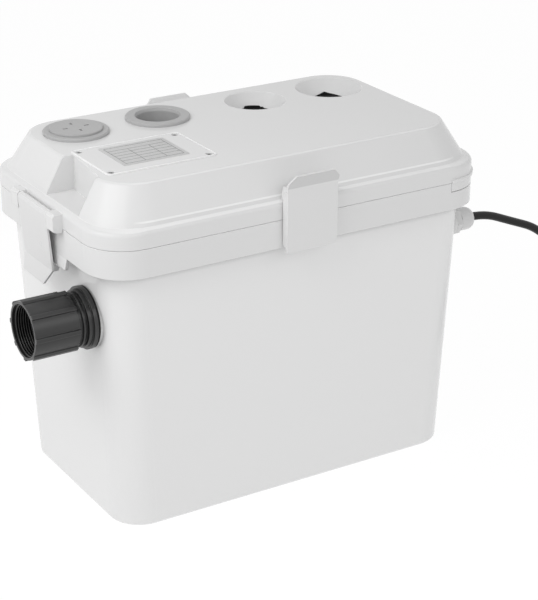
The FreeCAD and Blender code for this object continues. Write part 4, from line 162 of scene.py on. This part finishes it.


class Nodes:
    """A material's node tree, with short calls to add and wire nodes."""

    def __init__(self, name):
        """A new material with an empty tree. place is the point in the frame, in metres."""
        self.material = bpy.data.materials.new(name)
        self.material.use_nodes = True
        self.tree = self.material.node_tree
        self.tree.nodes.clear()
        self.output = self.add("ShaderNodeOutputMaterial")
        self.place = self.add("ShaderNodeTexCoord").outputs["Object"]

    def add(self, kind, inputs=None, **settings):
        """A node with its inputs wired to a socket or set to a value."""
        node = self.tree.nodes.new(kind)
        for key, value in settings.items():
            setattr(node, key, value)
        for key, value in (inputs or {}).items():
            if isinstance(value, bpy.types.NodeSocket):
                self.tree.links.new(value, node.inputs[key])
            else:
                node.inputs[key].default_value = value
        return node

    def noise(self, scale, detail=3.0, roughness=0.5):
        """Noise with a feature size of about 1 / scale metres."""
        return self.add(
            "ShaderNodeTexNoise",
            {"Vector": self.place, "Scale": scale, "Detail": detail, "Roughness": roughness},
        ).outputs["Fac"]

    def spread(self, value, low, high, start=0.3, end=0.7):
        """Low to high as a value goes from start to end. It stays at the nearer one beyond them."""
        return self.add(
            "ShaderNodeMapRange",
            {"Value": value, "From Min": start, "From Max": end, "To Min": low, "To Max": high},
        ).outputs["Result"]

    def blend(self, fac, first, second):
        """A colour between two, by a value."""
        node = self.add("ShaderNodeMix", data_type="RGBA")
        sockets = [socket for socket in node.inputs if socket.enabled]
        for socket, value in zip(sockets, (fac, first, second)):
            if isinstance(value, bpy.types.NodeSocket):
                self.tree.links.new(value, socket)
            else:
                socket.default_value = value
        return [socket for socket in node.outputs if socket.enabled][0]

    def below(self, height):
        """1 under a height in the frame, 0 over it."""
        upward = self.parts_of(self.place)["Z"]
        return self.spread(upward, 1.0, 0.0, height - MASK_BLUR, height + MASK_BLUR)

    def both(self, first, second):
        """The product of two masks."""
        return self.add("ShaderNodeMath", {0: first, 1: second}, operation="MULTIPLY").outputs[0]

    def between(self, value, start, full, fading, end):
        """1 from full to fading, sinking to 0 at start and end."""
        rising = self.spread(value, 0.0, 1.0, start, full)
        return self.both(rising, self.spread(value, 1.0, 0.0, fading, end))

    def parts_of(self, vector):
        """The X, Y and Z of a vector."""
        return self.add("ShaderNodeSeparateXYZ", {"Vector": vector}).outputs

    def facing(self):
        """The surface's own direction."""
        return self.parts_of(self.add("ShaderNodeTexCoord").outputs["Normal"])

    def long_side(self):
        """1 on faces that look to the front or back or up, sinking to 0 as they turn to the ends."""
        sideways = self.facing()["X"]
        return self.spread(self.both(sideways, sideways), 1.0, 0.0, *LONG_SIDE_TURN)

    def rounded(self, radius, samples=8):
        """The surface's direction, with its edges rounded off."""
        return self.add("ShaderNodeBevel", {"Radius": radius}, samples=samples).outputs["Normal"]

    def edges(self, rounded):
        """1 where rounding the edges turns the surface, 0 elsewhere."""
        flat = self.add("ShaderNodeNewGeometry").outputs["Normal"]
        same = self.add("ShaderNodeVectorMath", {0: rounded, 1: flat}, operation="DOT_PRODUCT")
        return self.spread(same.outputs["Value"], 1.0, 0.0, *EDGE_TURN)

    def gaps(self, reach, own):
        """1 in corners and gaps narrower than reach, 0 in the open. own looks at the piece alone."""
        around = self.add(
            "ShaderNodeAmbientOcclusion", {"Distance": reach}, samples=8, only_local=own
        )
        return self.spread(around.outputs["AO"], 1.0, 0.0, *OPEN_SHARE)

    def bump(self, height, strength, distance, normal=None):
        """The surface's direction, disturbed by a height pattern."""
        inputs = {"Height": height, "Strength": strength, "Distance": distance}
        if normal is not None:
            inputs["Normal"] = normal
        return self.add("ShaderNodeBump", inputs).outputs["Normal"]

    def grained(self, strength, rounded):
        """The fine grain of moulded plastic, on a surface with rounded edges."""
        return self.bump(self.noise(GRAIN_SCALE, 2.0), strength, GRAIN_DEPTH, rounded)

    def finish(self, colour, roughness, normal, **constants):
        """The material, with its surface wired up."""
        shader = self.add(
            "ShaderNodeBsdfPrincipled",
            {"Base Color": colour, "Roughness": roughness, "Normal": normal},
        )
        for key, value in constants.items():
            shader.inputs[key.replace("_", " ")].default_value = value
        self.tree.links.new(shader.outputs["BSDF"], self.output.inputs["Surface"])
        return self.material


def grey(level):
    """A colour from one linear level."""
    return (level, level, level, 1.0)


def moulded(
    name, colour, dark, rough, grain=0.25, cloud=14.0, edge=0.0009, specular=0.3,
    lower=None, edge_highlight=None, recess=None, shoulder_highlight=None, crease_highlight=None,
):
    """Moulded plastic or rubber: faint clouding, uneven gloss, fine grain and softly rounded edges.

    lower is (height, colour under it), edge_highlight is the painted highlight colour along edges,
    and recess is (reach in metres, colour of the painted shade in corners and gaps), which keeps to
    the piece's own lower part where lower is given. shoulder_highlight is the painted highlight
    colour on the rounded shoulder of the long sides, and crease_highlight is (height, half width,
    colour) of a painted highlight line on sloping faces.
    """
    tree = Nodes(name)
    clouding = tree.spread(tree.noise(cloud, 2.0), 0.0, 1.0, *WIDE)
    base = tree.blend(clouding, colour, dark)
    if lower:
        height, lower_colour = lower
        base = tree.blend(tree.below(height), base, lower_colour)
    uneven = tree.noise(GLOSS_SCALE, 2.0)
    gloss = tree.spread(uneven, rough - GLOSS_CHANGE, rough + GLOSS_CHANGE, *WIDE)
    rounded = tree.rounded(edge)
    # Painted highlight: a lighter colour along the edges, where rounding turns the surface
    if edge_highlight:
        base = tree.blend(tree.edges(rounded), base, edge_highlight)
    # Painted highlight on the rounded shoulder between steep and level faces of the long sides
    if shoulder_highlight:
        rounding = tree.between(tree.facing()["Z"], *SHOULDER_SLOPE)
        base = tree.blend(tree.both(rounding, tree.long_side()), base, shoulder_highlight)
    # Painted highlight: a thin lighter line at one height on sloping faces of the long sides
    if crease_highlight:
        height, half, crease_highlight_colour = crease_highlight
        low, high = height - half, height + half
        upward = tree.parts_of(tree.place)["Z"]
        line = tree.between(upward, low - MASK_BLUR, low, high, high + MASK_BLUR)
        sloping = tree.spread(tree.facing()["Z"], 0.0, 1.0, *CREASE_SLOPE)
        base = tree.blend(tree.both(tree.both(line, sloping), tree.long_side()), base, crease_highlight_colour)
    # Painted shade: a darker colour in corners and gaps, where little of the surroundings is open
    if recess:
        reach, recess_shade_colour = recess
        shaded = tree.gaps(reach, own=bool(lower))
        if lower:
            shaded = tree.both(shaded, tree.below(lower[0]))
        base = tree.blend(shaded, base, recess_shade_colour)
    return tree.finish(base, gloss, tree.grained(grain, rounded), Specular_IOR_Level=specular)


def metal(name, colour, dark, rough, streak=500.0):
    """Turned or drawn metal: fine streaks in its gloss and a slight bump."""
    tree = Nodes(name)
    drawn = tree.noise(streak, 6.0, 0.7)
    base = tree.blend(tree.spread(drawn, 0.0, 1.0), colour, dark)
    gloss = tree.spread(tree.noise(streak / 3, 3.0), rough - 0.06, rough + 0.08)
    streaked = tree.bump(drawn, 0.2, 0.00005, tree.rounded(0.0003, samples=4))
    return tree.finish(base, gloss, streaked, Metallic=1.0)


def latch_with_shaded_tab(name, fold, colour, edge_highlight, tab_shade_colour):
    """Latch plastic with a painted highlight along its edges, and the finger tab's outer face, above
    its fold, painted darker as shade and rougher in gloss.
    """
    tree = Nodes(name)
    place = tree.parts_of(tree.place)
    outer = tree.spread(tree.both(tree.facing()["Y"], place["Y"]), 0.0, 1.0, *TAB_OUTER_SIDE)
    above = tree.spread(place["Z"], 0.0, 1.0, fold - MASK_BLUR, fold + MASK_BLUR)
    tab = tree.both(outer, above)
    rounded = tree.rounded(0.0006)
    # Painted highlight along the edges, then painted shade on the finger tab's outer face
    base = tree.blend(tree.edges(rounded), colour, edge_highlight)
    base = tree.blend(tab, base, tab_shade_colour)
    gloss = tree.spread(tab, 0.28, 0.42, 0.0, 1.0)
    return tree.finish(base, gloss, tree.grained(0.25, rounded), Specular_IOR_Level=0.3)


# Lighter colours along edges in these materials are painted highlights
MATERIALS = {
    "white_shell": moulded("white_shell", grey(0.80), grey(0.79), 0.20, edge=0.0016, edge_highlight=grey(0.90)),
    "latch_white": moulded("latch_white", grey(0.77), grey(0.76), 0.28, edge=0.0006, edge_highlight=grey(0.93)),
    "grey_seal": moulded("grey_seal", grey(0.49), grey(0.47), 0.50, grain=0.5),
    "grey_cap": moulded("grey_cap", grey(0.46), grey(0.44), 0.42, grain=0.4, edge=0.0006),
    "black_rubber": moulded("black_rubber", grey(0.012), grey(0.009), 0.60, grain=0.5, specular=0.15),
    "black_socket": moulded(
        "black_socket", grey(0.022), grey(0.017), 0.28, grain=0.6, specular=0.55,
        # painted highlight along its edges, painted shade in its crevices
        edge_highlight=grey(0.045), recess=(0.006, grey(0.001)),
    ),
    "white_pipe": moulded("white_pipe", grey(0.70), grey(0.68), 0.38),
    "gland_grey": moulded("gland_grey", grey(0.72), grey(0.70), 0.36, edge=0.0005),
    "cord_black": moulded("cord_black", grey(0.012), grey(0.009), 0.40, grain=0.5, specular=0.25),
    "tie_white": moulded("tie_white", grey(0.72), grey(0.70), 0.45, edge=0.0002),
    "plug_metal": metal("plug_metal", grey(0.72), grey(0.60), 0.22),
    "steel": metal("steel", grey(0.60), grey(0.48), 0.30),
    "pump_plastic": moulded("pump_plastic", grey(0.060), grey(0.045), 0.42),
    "float_orange": moulded("float_orange", (0.75, 0.16, 0.02, 1), (0.62, 0.12, 0.02, 1), 0.40),
    "motor_metal": metal("motor_metal", grey(0.55), grey(0.42), 0.38, 300.0),
    "stator_core": metal("stator_core", (0.38, 0.22, 0.12, 1), (0.25, 0.14, 0.08, 1), 0.45, 900.0),
    "board_green": moulded("board_green", (0.02, 0.16, 0.06, 1), (0.015, 0.11, 0.04, 1), 0.35),
    "block_grey": moulded("block_grey", grey(0.30), grey(0.26), 0.45),
    "carbon": moulded("carbon", grey(0.012), grey(0.025), 0.85, grain=1.0, cloud=700.0),
}

RIM_FOOT = 0.2505  # height of the rim's lower edge; the tank's wall under it is a little lighter
HOOD_CREASE = 0.2983  # height of the crease at the hood's foot, where a highlight line is painted
LATCH_FOLD = 0.3079  # height of the fold under the finger tabs; above it the tab's outer face is painted darker as shade

# Tank: a little lighter under the rim, with painted highlights along its edges and painted shade in
# the corners and gaps of its lower part, as under the rim
TANK_WHITE = moulded(
    "tank_white", grey(0.80), grey(0.79), 0.20, edge=0.0012,
    lower=(RIM_FOOT, grey(0.89)), edge_highlight=grey(0.92), recess=(0.012, grey(0.28)),
)
# Lid: painted highlights along its edges, on the rounded shoulder of its long sides and along the
# crease at the hood's foot
LID_WHITE = moulded(
    "lid_white", grey(0.80), grey(0.79), 0.20, edge=0.0012,
    edge_highlight=grey(0.90), shoulder_highlight=grey(0.89), crease_highlight=(HOOD_CREASE, 0.0006, grey(0.95)),
)
LATCH_SHADED_TAB = latch_with_shaded_tab("latch_shaded_tab", LATCH_FOLD, grey(0.80), grey(0.94), grey(0.655))
OWN_FINISH = {
    "tank": TANK_WHITE,
    "lid": LID_WHITE,
    "front_latch": LATCH_SHADED_TAB,
    "rear_latch": LATCH_SHADED_TAB,
}

for name, node in nodes.items():
    node.data.materials.clear()
    node.data.materials.append(OWN_FINISH.get(name) or MATERIALS[slot_of[name]])


def dress(piece, slot):
    """Gives a new piece the material of a slot."""
    piece.data.materials.append(MATERIALS[slot])


# Mains lead: one smooth line from the gland's cap nut, down to the floor and into its tied coil
LEAD_ROUTE = [
    (214.35, -78, 219),
    (232.35, -78, 219),
    (264.35, -78, 205.5),
    (300.35, -79, 191),
    (325.35, -80, 163),
    (332.35, -81, 126),
    (333.35, -82, 93),
    (336.35, -82, 64),
    (347.35, -82, 40),
    (364.35, -82, 22),
    (386, -82, 13),
    (408, -82, 13),
]
LEAD_RADIUS = 0.004
COIL_X, COIL_Y = 438.0, -130.0
OUTER, INNER = 48, 40  # radii of the coil's rings
UPPER, LOWER = 13, 5  # heights of its two layers
TURN_STEPS = 15
TURNS = 3.5
# Where along the winding the lead changes ring: turns so far, ring radius, height
RINGS = [
    (0.0, OUTER, UPPER), (0.85, OUTER, UPPER),
    (1.0, INNER, UPPER), (1.75, INNER, UPPER),
    (1.9, INNER, LOWER), (2.65, INNER, LOWER),
    (2.8, OUTER, LOWER), (TURNS, OUTER, LOWER),
]

points = [metres(*place) for place in LEAD_ROUTE]
outset = 1 / math.cos(math.pi / TURN_STEPS)
for step in range(int(TURNS * TURN_STEPS) + 1):
    turned = (step + 0.5) / TURN_STEPS
    radius, height = values_at(RINGS, turned)
    angle = math.radians(90) - 2 * math.pi * turned
    points.append(metres(
        COIL_X + radius * outset * math.cos(angle),
        COIL_Y + radius * outset * math.sin(angle),
        height,
    ))
PLUG_TILT = math.radians(10)
PLUG_STUB = 40  # straight lead between the last turn and the plug
points.append(metres(COIL_X - 8, COIL_Y - OUTER, LOWER + 0.8))
points.append(metres(
    COIL_X - PLUG_STUB * math.cos(PLUG_TILT),
    COIL_Y - OUTER,
    LOWER + PLUG_STUB * math.sin(PLUG_TILT),
))

curve = bpy.data.curves.new("mains_lead", "CURVE")
curve.dimensions = "3D"
curve.bevel_depth = LEAD_RADIUS
curve.bevel_resolution = 6
curve.resolution_u = 6
curve.use_fill_caps = True
spline = curve.splines.new("NURBS")
spline.points.add(len(points) - 1)
for control, place in zip(spline.points, points):
    control.co = (*place, 1)
spline.order_u = 3
spline.use_endpoint_u = True
lead = bpy.data.objects.new("mains_lead", curve)
scene.collection.objects.link(lead)
dress(lead, "cord_black")
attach(lead, "tank")
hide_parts("power_cord", "cord_coil")


# Union sleeve's female thread: a helical ridge that turns with the sleeve
THREAD_ROOT = 23.9
THREAD_CREST = 22.5
THREAD_PITCH = 2.309
THREAD_TURNS = 10
THREAD_START = -247.6
THREAD_SUNK = 0.15  # how far the ridge's foot lies in the sleeve's wall
FOOT_HALF, CREST_HALF = 0.95, 0.18  # half widths of the ridge at its foot and its crest
STEPS_OF_TURN = 48
SLEEVE_Y, SLEEVE_Z = -59, 198.5
thread_rings = []
for step in range(THREAD_TURNS * STEPS_OF_TURN + 1):
    turned = step / STEPS_OF_TURN
    angle = 2 * math.pi * turned
    taper = min(1.0, turned, THREAD_TURNS - turned)
    crest = THREAD_ROOT - (THREAD_ROOT - THREAD_CREST) * taper
    foot = THREAD_ROOT + THREAD_SUNK
    ridge = []
    for radius, along in (
        (foot, -FOOT_HALF), (crest, -CREST_HALF), (crest, CREST_HALF), (foot, FOOT_HALF),
    ):
        ridge.append(metres(
            THREAD_START + THREAD_PITCH * turned + along * min(1.0, max(taper, 0.15)),
            SLEEVE_Y + radius * math.cos(angle),
            SLEEVE_Z + radius * math.sin(angle),
        ))
    thread_rings.append(ridge)
dress(solid("sleeve_thread", [lofted(thread_rings)], "sleeve", 50), "black_socket")


# Blank rating plate on the terminal cover
PLATE_CENTRE = (-110.8, -26.3)
PLATE_LENGTH, PLATE_WIDTH, PLATE_CORNER = 65, 53, 2
PLATE_RINGS = ((0, 327.45), (0, 327.68), (0.3, 327.75))  # how much smaller, height
plate_tree = Nodes("rating_plate")
brushed = plate_tree.noise(420.0, 5.0, 0.6)
plate_material = plate_tree.finish(
    plate_tree.blend(plate_tree.spread(brushed, 0.0, 1.0), grey(0.62), grey(0.57)),
    plate_tree.spread(brushed, 0.38, 0.5),
    plate_tree.bump(brushed, 0.15, 0.00003),
)
plate_skin = lofted([
    rounded_outline(*PLATE_CENTRE, PLATE_LENGTH - less, PLATE_WIDTH - less, PLATE_CORNER, height)
    for less, height in PLATE_RINGS
])
solid("rating_plate", [plate_skin], "lid").data.materials.append(plate_material)


# Empty ruled table on the plate
def bar(low, high):
    """A flat strip between two corners in millimetres."""
    rings = []
    for height in (low[2], high[2]):
        corners = ((low[0], low[1]), (high[0], low[1]), (high[0], high[1]), (low[0], high[1]))
        rings.append([metres(x, y, height) for x, y in corners])
    return lofted(rings)


RULE_FOOT, RULE_TOP = 327.7, 327.8
RULE_HALF = 0.22
TABLE_HALF_LENGTH, TABLE_HALF_WIDTH = 28.5, 22.0
HEADING_FOOT = 14.0
ROWS = (-TABLE_HALF_WIDTH, -14.0, -7.0, 0.0, 7.0, HEADING_FOOT, TABLE_HALF_WIDTH)
# Each upright line's place and upper end: the two inner ones stop under the heading
COLUMNS = (
    (-TABLE_HALF_LENGTH, TABLE_HALF_WIDTH),
    (-9.0, HEADING_FOOT),
    (12.0, HEADING_FOOT),
    (TABLE_HALF_LENGTH, TABLE_HALF_WIDTH),
)
plate_x, plate_y = PLATE_CENTRE
rules = []
for along in ROWS:
    rules.append(bar(
        (plate_x - TABLE_HALF_LENGTH, plate_y + along - RULE_HALF, RULE_FOOT),
        (plate_x + TABLE_HALF_LENGTH, plate_y + along + RULE_HALF, RULE_TOP),
    ))
for across, top in COLUMNS:
    rules.append(bar(
        (plate_x + across - RULE_HALF, plate_y - TABLE_HALF_WIDTH - RULE_HALF, RULE_FOOT),
        (plate_x + across + RULE_HALF, plate_y + top + RULE_HALF, RULE_TOP - 0.02),
    ))
printed = moulded("plate_print", grey(0.14), grey(0.11), 0.5, edge=0.0001)
solid("plate_rules", rules, "lid").data.materials.append(printed)


# Raised bead round the terminal cover, painted lighter than the lid as a highlight along it
COVER_CENTRE = (-112.5, -30.0)
COVER_LENGTH, COVER_WIDTH, COVER_CORNER = 105, 72, 3
BEAD_RADIUS = 1.0
BEAD_OUT = 0.75  # how far the bead's middle lies outside the cover's edge
BEAD_HEIGHT = 327.15
BEAD_SIDES = 8
bead_rings = []
for step in range(BEAD_SIDES):
    angle = 2 * math.pi * step / BEAD_SIDES
    grown = 2 * (BEAD_OUT + BEAD_RADIUS * math.cos(angle))
    bead_rings.append(rounded_outline(
        *COVER_CENTRE,
        COVER_LENGTH + grown,
        COVER_WIDTH + grown,
        COVER_CORNER + grown / 2,
        BEAD_HEIGHT + BEAD_RADIUS * math.sin(angle),
    ))
bead_highlight_white = moulded("bead_highlight_white", grey(0.94), grey(0.93), 0.22, edge=0.0002)
bead = solid("cover_bead", [lofted(bead_rings, closed=True)], "lid", 60)
bead.data.materials.append(bead_highlight_white)


# Raised lips of the slit membranes, at the back of the two open inlets
PORT_ROW = 56
NEAR_PORT, FAR_PORT = 53, 137
LIP_BASE = 312.8
LIP_INSIDE, LIP_OUTSIDE = 18.5, 19.85
LIP_BEVEL, LIP_BEVEL_DROP = 0.3, 0.25  # in from its sides, down from its top
LIP_MIDDLE = 58.7  # direction away from the camera, in degrees
LIP_STEPS = 240
# Profiles of the two lips: degrees to the right of that direction, height
NEAR_LIP = [
    (-180, 313.9), (-34, 313.9), (-32.5, 316.2), (-20, 316.2), (0, 316.0), (11.5, 316.0),
    (16, 314.7), (20, 315.2), (23, 315.0), (25, 313.9), (180, 313.9),
]
FAR_LIP = [
    (-180, 313.8), (-36, 313.8), (-23, 315.0), (-16.5, 316.1), (-10.5, 316.9), (-7, 316.6),
    (1.5, 315.6), (13.5, 314.8), (38.5, 313.8), (180, 313.8),
]


def membrane_lip(name, centre_x, profile):
    """A band on the neck's wall, as high as its profile says."""
    rings = []
    for step in range(-LIP_STEPS // 2, LIP_STEPS // 2):
        turned = step * 360 / LIP_STEPS
        top, = values_at(profile, turned)
        section = (
            (LIP_INSIDE, LIP_BASE),
            (LIP_OUTSIDE, LIP_BASE),
            (LIP_OUTSIDE, top - LIP_BEVEL_DROP),
            (LIP_OUTSIDE - LIP_BEVEL, top),
            (LIP_INSIDE + LIP_BEVEL, top),
            (LIP_INSIDE, top - LIP_BEVEL_DROP),
        )
        angle = math.radians(LIP_MIDDLE - turned)
        rings.append([
            metres(centre_x + radius * math.cos(angle), PORT_ROW + radius * math.sin(angle), height)
            for radius, height in section
        ])
    dress(solid(name, [lofted(rings, closed=True)], "lid", 40), "black_rubber")


membrane_lip("near_membrane_lip", NEAR_PORT, NEAR_LIP)
membrane_lip("far_membrane_lip", FAR_PORT, FAR_LIP)


# Terminal cover's screws: pan heads with a cross recess, one in each corner
SCREW_INSET = 4.5
HEAD_TOP = 326.9
HEAD_RADIUS = 2.9
HEAD_HEIGHT = 1.3
SHANK_RADIUS = 1.4
SHANK_END = 11
TIP = (0.3, 12)  # radius, depth
ARM = 1.9
ARM_HALF = 0.55
RECESS = 1.1
RECESS_TAPER = 0.6  # size of the recess's floor, as a share of its mouth
PARTS_OF_SIDE = 3


def cross_points(height, scale=1.0):
    """The recess's outline: four arms, each side of it in three parts."""
    corners = []
    for quarter in range(4):
        turn = Matrix.Rotation(math.radians(90 * quarter), 2)
        for place in ((ARM, -ARM_HALF), (ARM, ARM_HALF), (ARM_HALF, ARM_HALF)):
            corners.append(turn @ Vector(place) * scale)
    outline = []
    for corner, following in zip(corners, corners[1:] + corners[:1]):
        for part in range(PARTS_OF_SIDE):
            x, y = corner.lerp(following, part / PARTS_OF_SIDE)
            outline.append((x, y, height))
    return outline


def circle_points(radius, height):
    """A circle with as many points as the recess, starting at the same side."""
    count = 12 * PARTS_OF_SIDE
    first = math.atan2(-ARM_HALF, ARM)
    angles = [first + 2 * math.pi * step / count for step in range(count)]
    return [(radius * math.cos(angle), radius * math.sin(angle), height) for angle in angles]


HEAD_RINGS = [
    cross_points(-RECESS, RECESS_TAPER),
    cross_points(0),
    circle_points(HEAD_RADIUS * 0.75, 0),
    circle_points(HEAD_RADIUS * 0.93, -0.08),
    circle_points(HEAD_RADIUS, -0.5),
    circle_points(HEAD_RADIUS, -HEAD_HEIGHT),
    circle_points(SHANK_RADIUS, -HEAD_HEIGHT),
    circle_points(SHANK_RADIUS, -SHANK_END),
    circle_points(TIP[0], -TIP[1]),
]
screw_parts = []
for side_x in (-1, 1):
    for side_y in (-1, 1):
        seat = Vector((
            COVER_CENTRE[0] + side_x * (COVER_LENGTH / 2 - SCREW_INSET),
            COVER_CENTRE[1] + side_y * (COVER_WIDTH / 2 - SCREW_INSET),
            HEAD_TOP,
        ))
        turn = Matrix.Rotation(0.5 * side_x + 0.3 * side_y, 3, "Z")
        screw_parts.append(lofted([
            [(turn @ Vector(point) + seat) * MM for point in ring] for ring in HEAD_RINGS
        ]))
screws = solid("cover_screws", screw_parts, "lid")
RECESS_SHADE = (HEAD_TOP - 0.12) * MM  # under this height the cross recess is painted dark, as shade
screws.data.materials.append(moulded(
    "screw_head", grey(0.62), grey(0.56), 0.4, edge=0.0002, lower=(RECESS_SHADE, grey(0.03)),
))
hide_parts("terminal_screws")


# Studio: white floor and backdrop for the camera, soft light from the left, above and the front
SKY = 0.49  # strength of the world's light on the part
FLOOR_HALF = 6.0
FLOOR_BOUNCE = 0.30  # the floor for the part: how much light it throws back,
FLOOR_GLOW = 0.67  # and its own even light
FLOOR_LEVEL = 0.80  # the floor for the camera: its colour under the lamps, which takes the shadow,
SEEN_GLOW = 1.05  # the white over it,
SEEN_SHARE = 0.9  # and that white's share
LAMP_AIM = Vector((0, 0, 0.2))


def seen_directly(tree):
    """1 for rays from the camera, and for those mirrored or let through."""
    path = tree.nodes.new("ShaderNodeLightPath")
    most = path.outputs["Is Camera Ray"]
    for name in ("Is Glossy Ray", "Is Transmission Ray"):
        larger = tree.nodes.new("ShaderNodeMath")
        larger.operation = "MAXIMUM"
        tree.links.new(most, larger.inputs[0])
        tree.links.new(path.outputs[name], larger.inputs[1])
        most = larger.outputs[0]
    return most


def shader(tree, kind, **values):
    """A shader with its inputs set, by its output."""
    node = tree.nodes.new(kind)
    for key, value in values.items():
        node.inputs[key].default_value = value
    return node.outputs[0]


def joined(tree, kind, *inputs):
    """A shader made of others, by its output."""
    node = tree.nodes.new(kind)
    for socket, value in zip(node.inputs, inputs):
        if isinstance(value, bpy.types.NodeSocket):
            tree.links.new(value, socket)
        else:
            socket.default_value = value
    return node.outputs[0]


world = bpy.data.worlds.new("studio")
world.use_nodes = True
scene.world = world
tree = world.node_tree
tree.nodes.clear()
plain = shader(tree, "ShaderNodeBackground", Color=grey(1.0), Strength=SKY)
white = shader(tree, "ShaderNodeBackground", Color=grey(1.0), Strength=1.0)
world_output = tree.nodes.new("ShaderNodeOutputWorld")
tree.links.new(
    joined(tree, "ShaderNodeMixShader", seen_directly(tree), plain, white),
    world_output.inputs["Surface"],
)

floor_mesh = bpy.data.meshes.new("floor")
floor_mesh.from_pydata(
    [
        (side_x * FLOOR_HALF, side_y * FLOOR_HALF, 0)
        for side_x, side_y in ((-1, -1), (1, -1), (1, 1), (-1, 1))
    ],
    [],
    [(0, 1, 2, 3)],
)
floor = bpy.data.objects.new("floor", floor_mesh)
scene.collection.objects.link(floor)
floor_material = bpy.data.materials.new("floor")
floor_material.use_nodes = True
floor_mesh.materials.append(floor_material)
tree = floor_material.node_tree
tree.nodes.clear()
dull = shader(tree, "ShaderNodeBsdfDiffuse", Color=grey(FLOOR_BOUNCE))
faint = shader(tree, "ShaderNodeEmission", Strength=FLOOR_GLOW)
bounce = joined(tree, "ShaderNodeAddShader", dull, faint)
matt = shader(tree, "ShaderNodeBsdfDiffuse", Color=grey(FLOOR_LEVEL))
glow = shader(tree, "ShaderNodeEmission", Strength=SEEN_GLOW)
seen = joined(tree, "ShaderNodeMixShader", SEEN_SHARE, matt, glow)
floor_output = tree.nodes.new("ShaderNodeOutputMaterial")
tree.links.new(
    joined(tree, "ShaderNodeMixShader", seen_directly(tree), bounce, seen),
    floor_output.inputs["Surface"],
)

# Soft lamps aimed at the upper half of the part: name, degrees from the front round to the
# left, degrees up, distance, width and height in metres, power in watts
SOFTBOXES = (
    ("key_box", 75, 42, 1.0, 0.8, 0.46, 2.7),
    ("strip_box", -90, 61, 1.3, 0.15, 0.7, 0.5),
    ("left_box", 98, 40, 1.1, 0.9, 0.6, 1.0),
    ("high_box", 0, 55, 1.3, 1.2, 0.3, 0.2),
    ("mid_box", -10, 30, 1.4, 1.4, 0.5, 1.9),
)
for name, azimuth, elevation, distance, width, height, power in SOFTBOXES:
    light = bpy.data.lights.new(name, "AREA")
    light.shape = "RECTANGLE"
    light.size = width
    light.size_y = height
    light.energy = power
    round_left = math.radians(azimuth)
    up = math.radians(elevation)
    direction = Vector((
        -math.sin(round_left) * math.cos(up),
        -math.cos(round_left) * math.cos(up),
        math.sin(up),
    ))
    lamp = bpy.data.objects.new(name, light)
    lamp.location = LAMP_AIM + direction * distance
    lamp.rotation_mode = "QUATERNION"
    lamp.rotation_quaternion = (-direction).to_track_quat("-Z", "Y")
    scene.collection.objects.link(lamp)
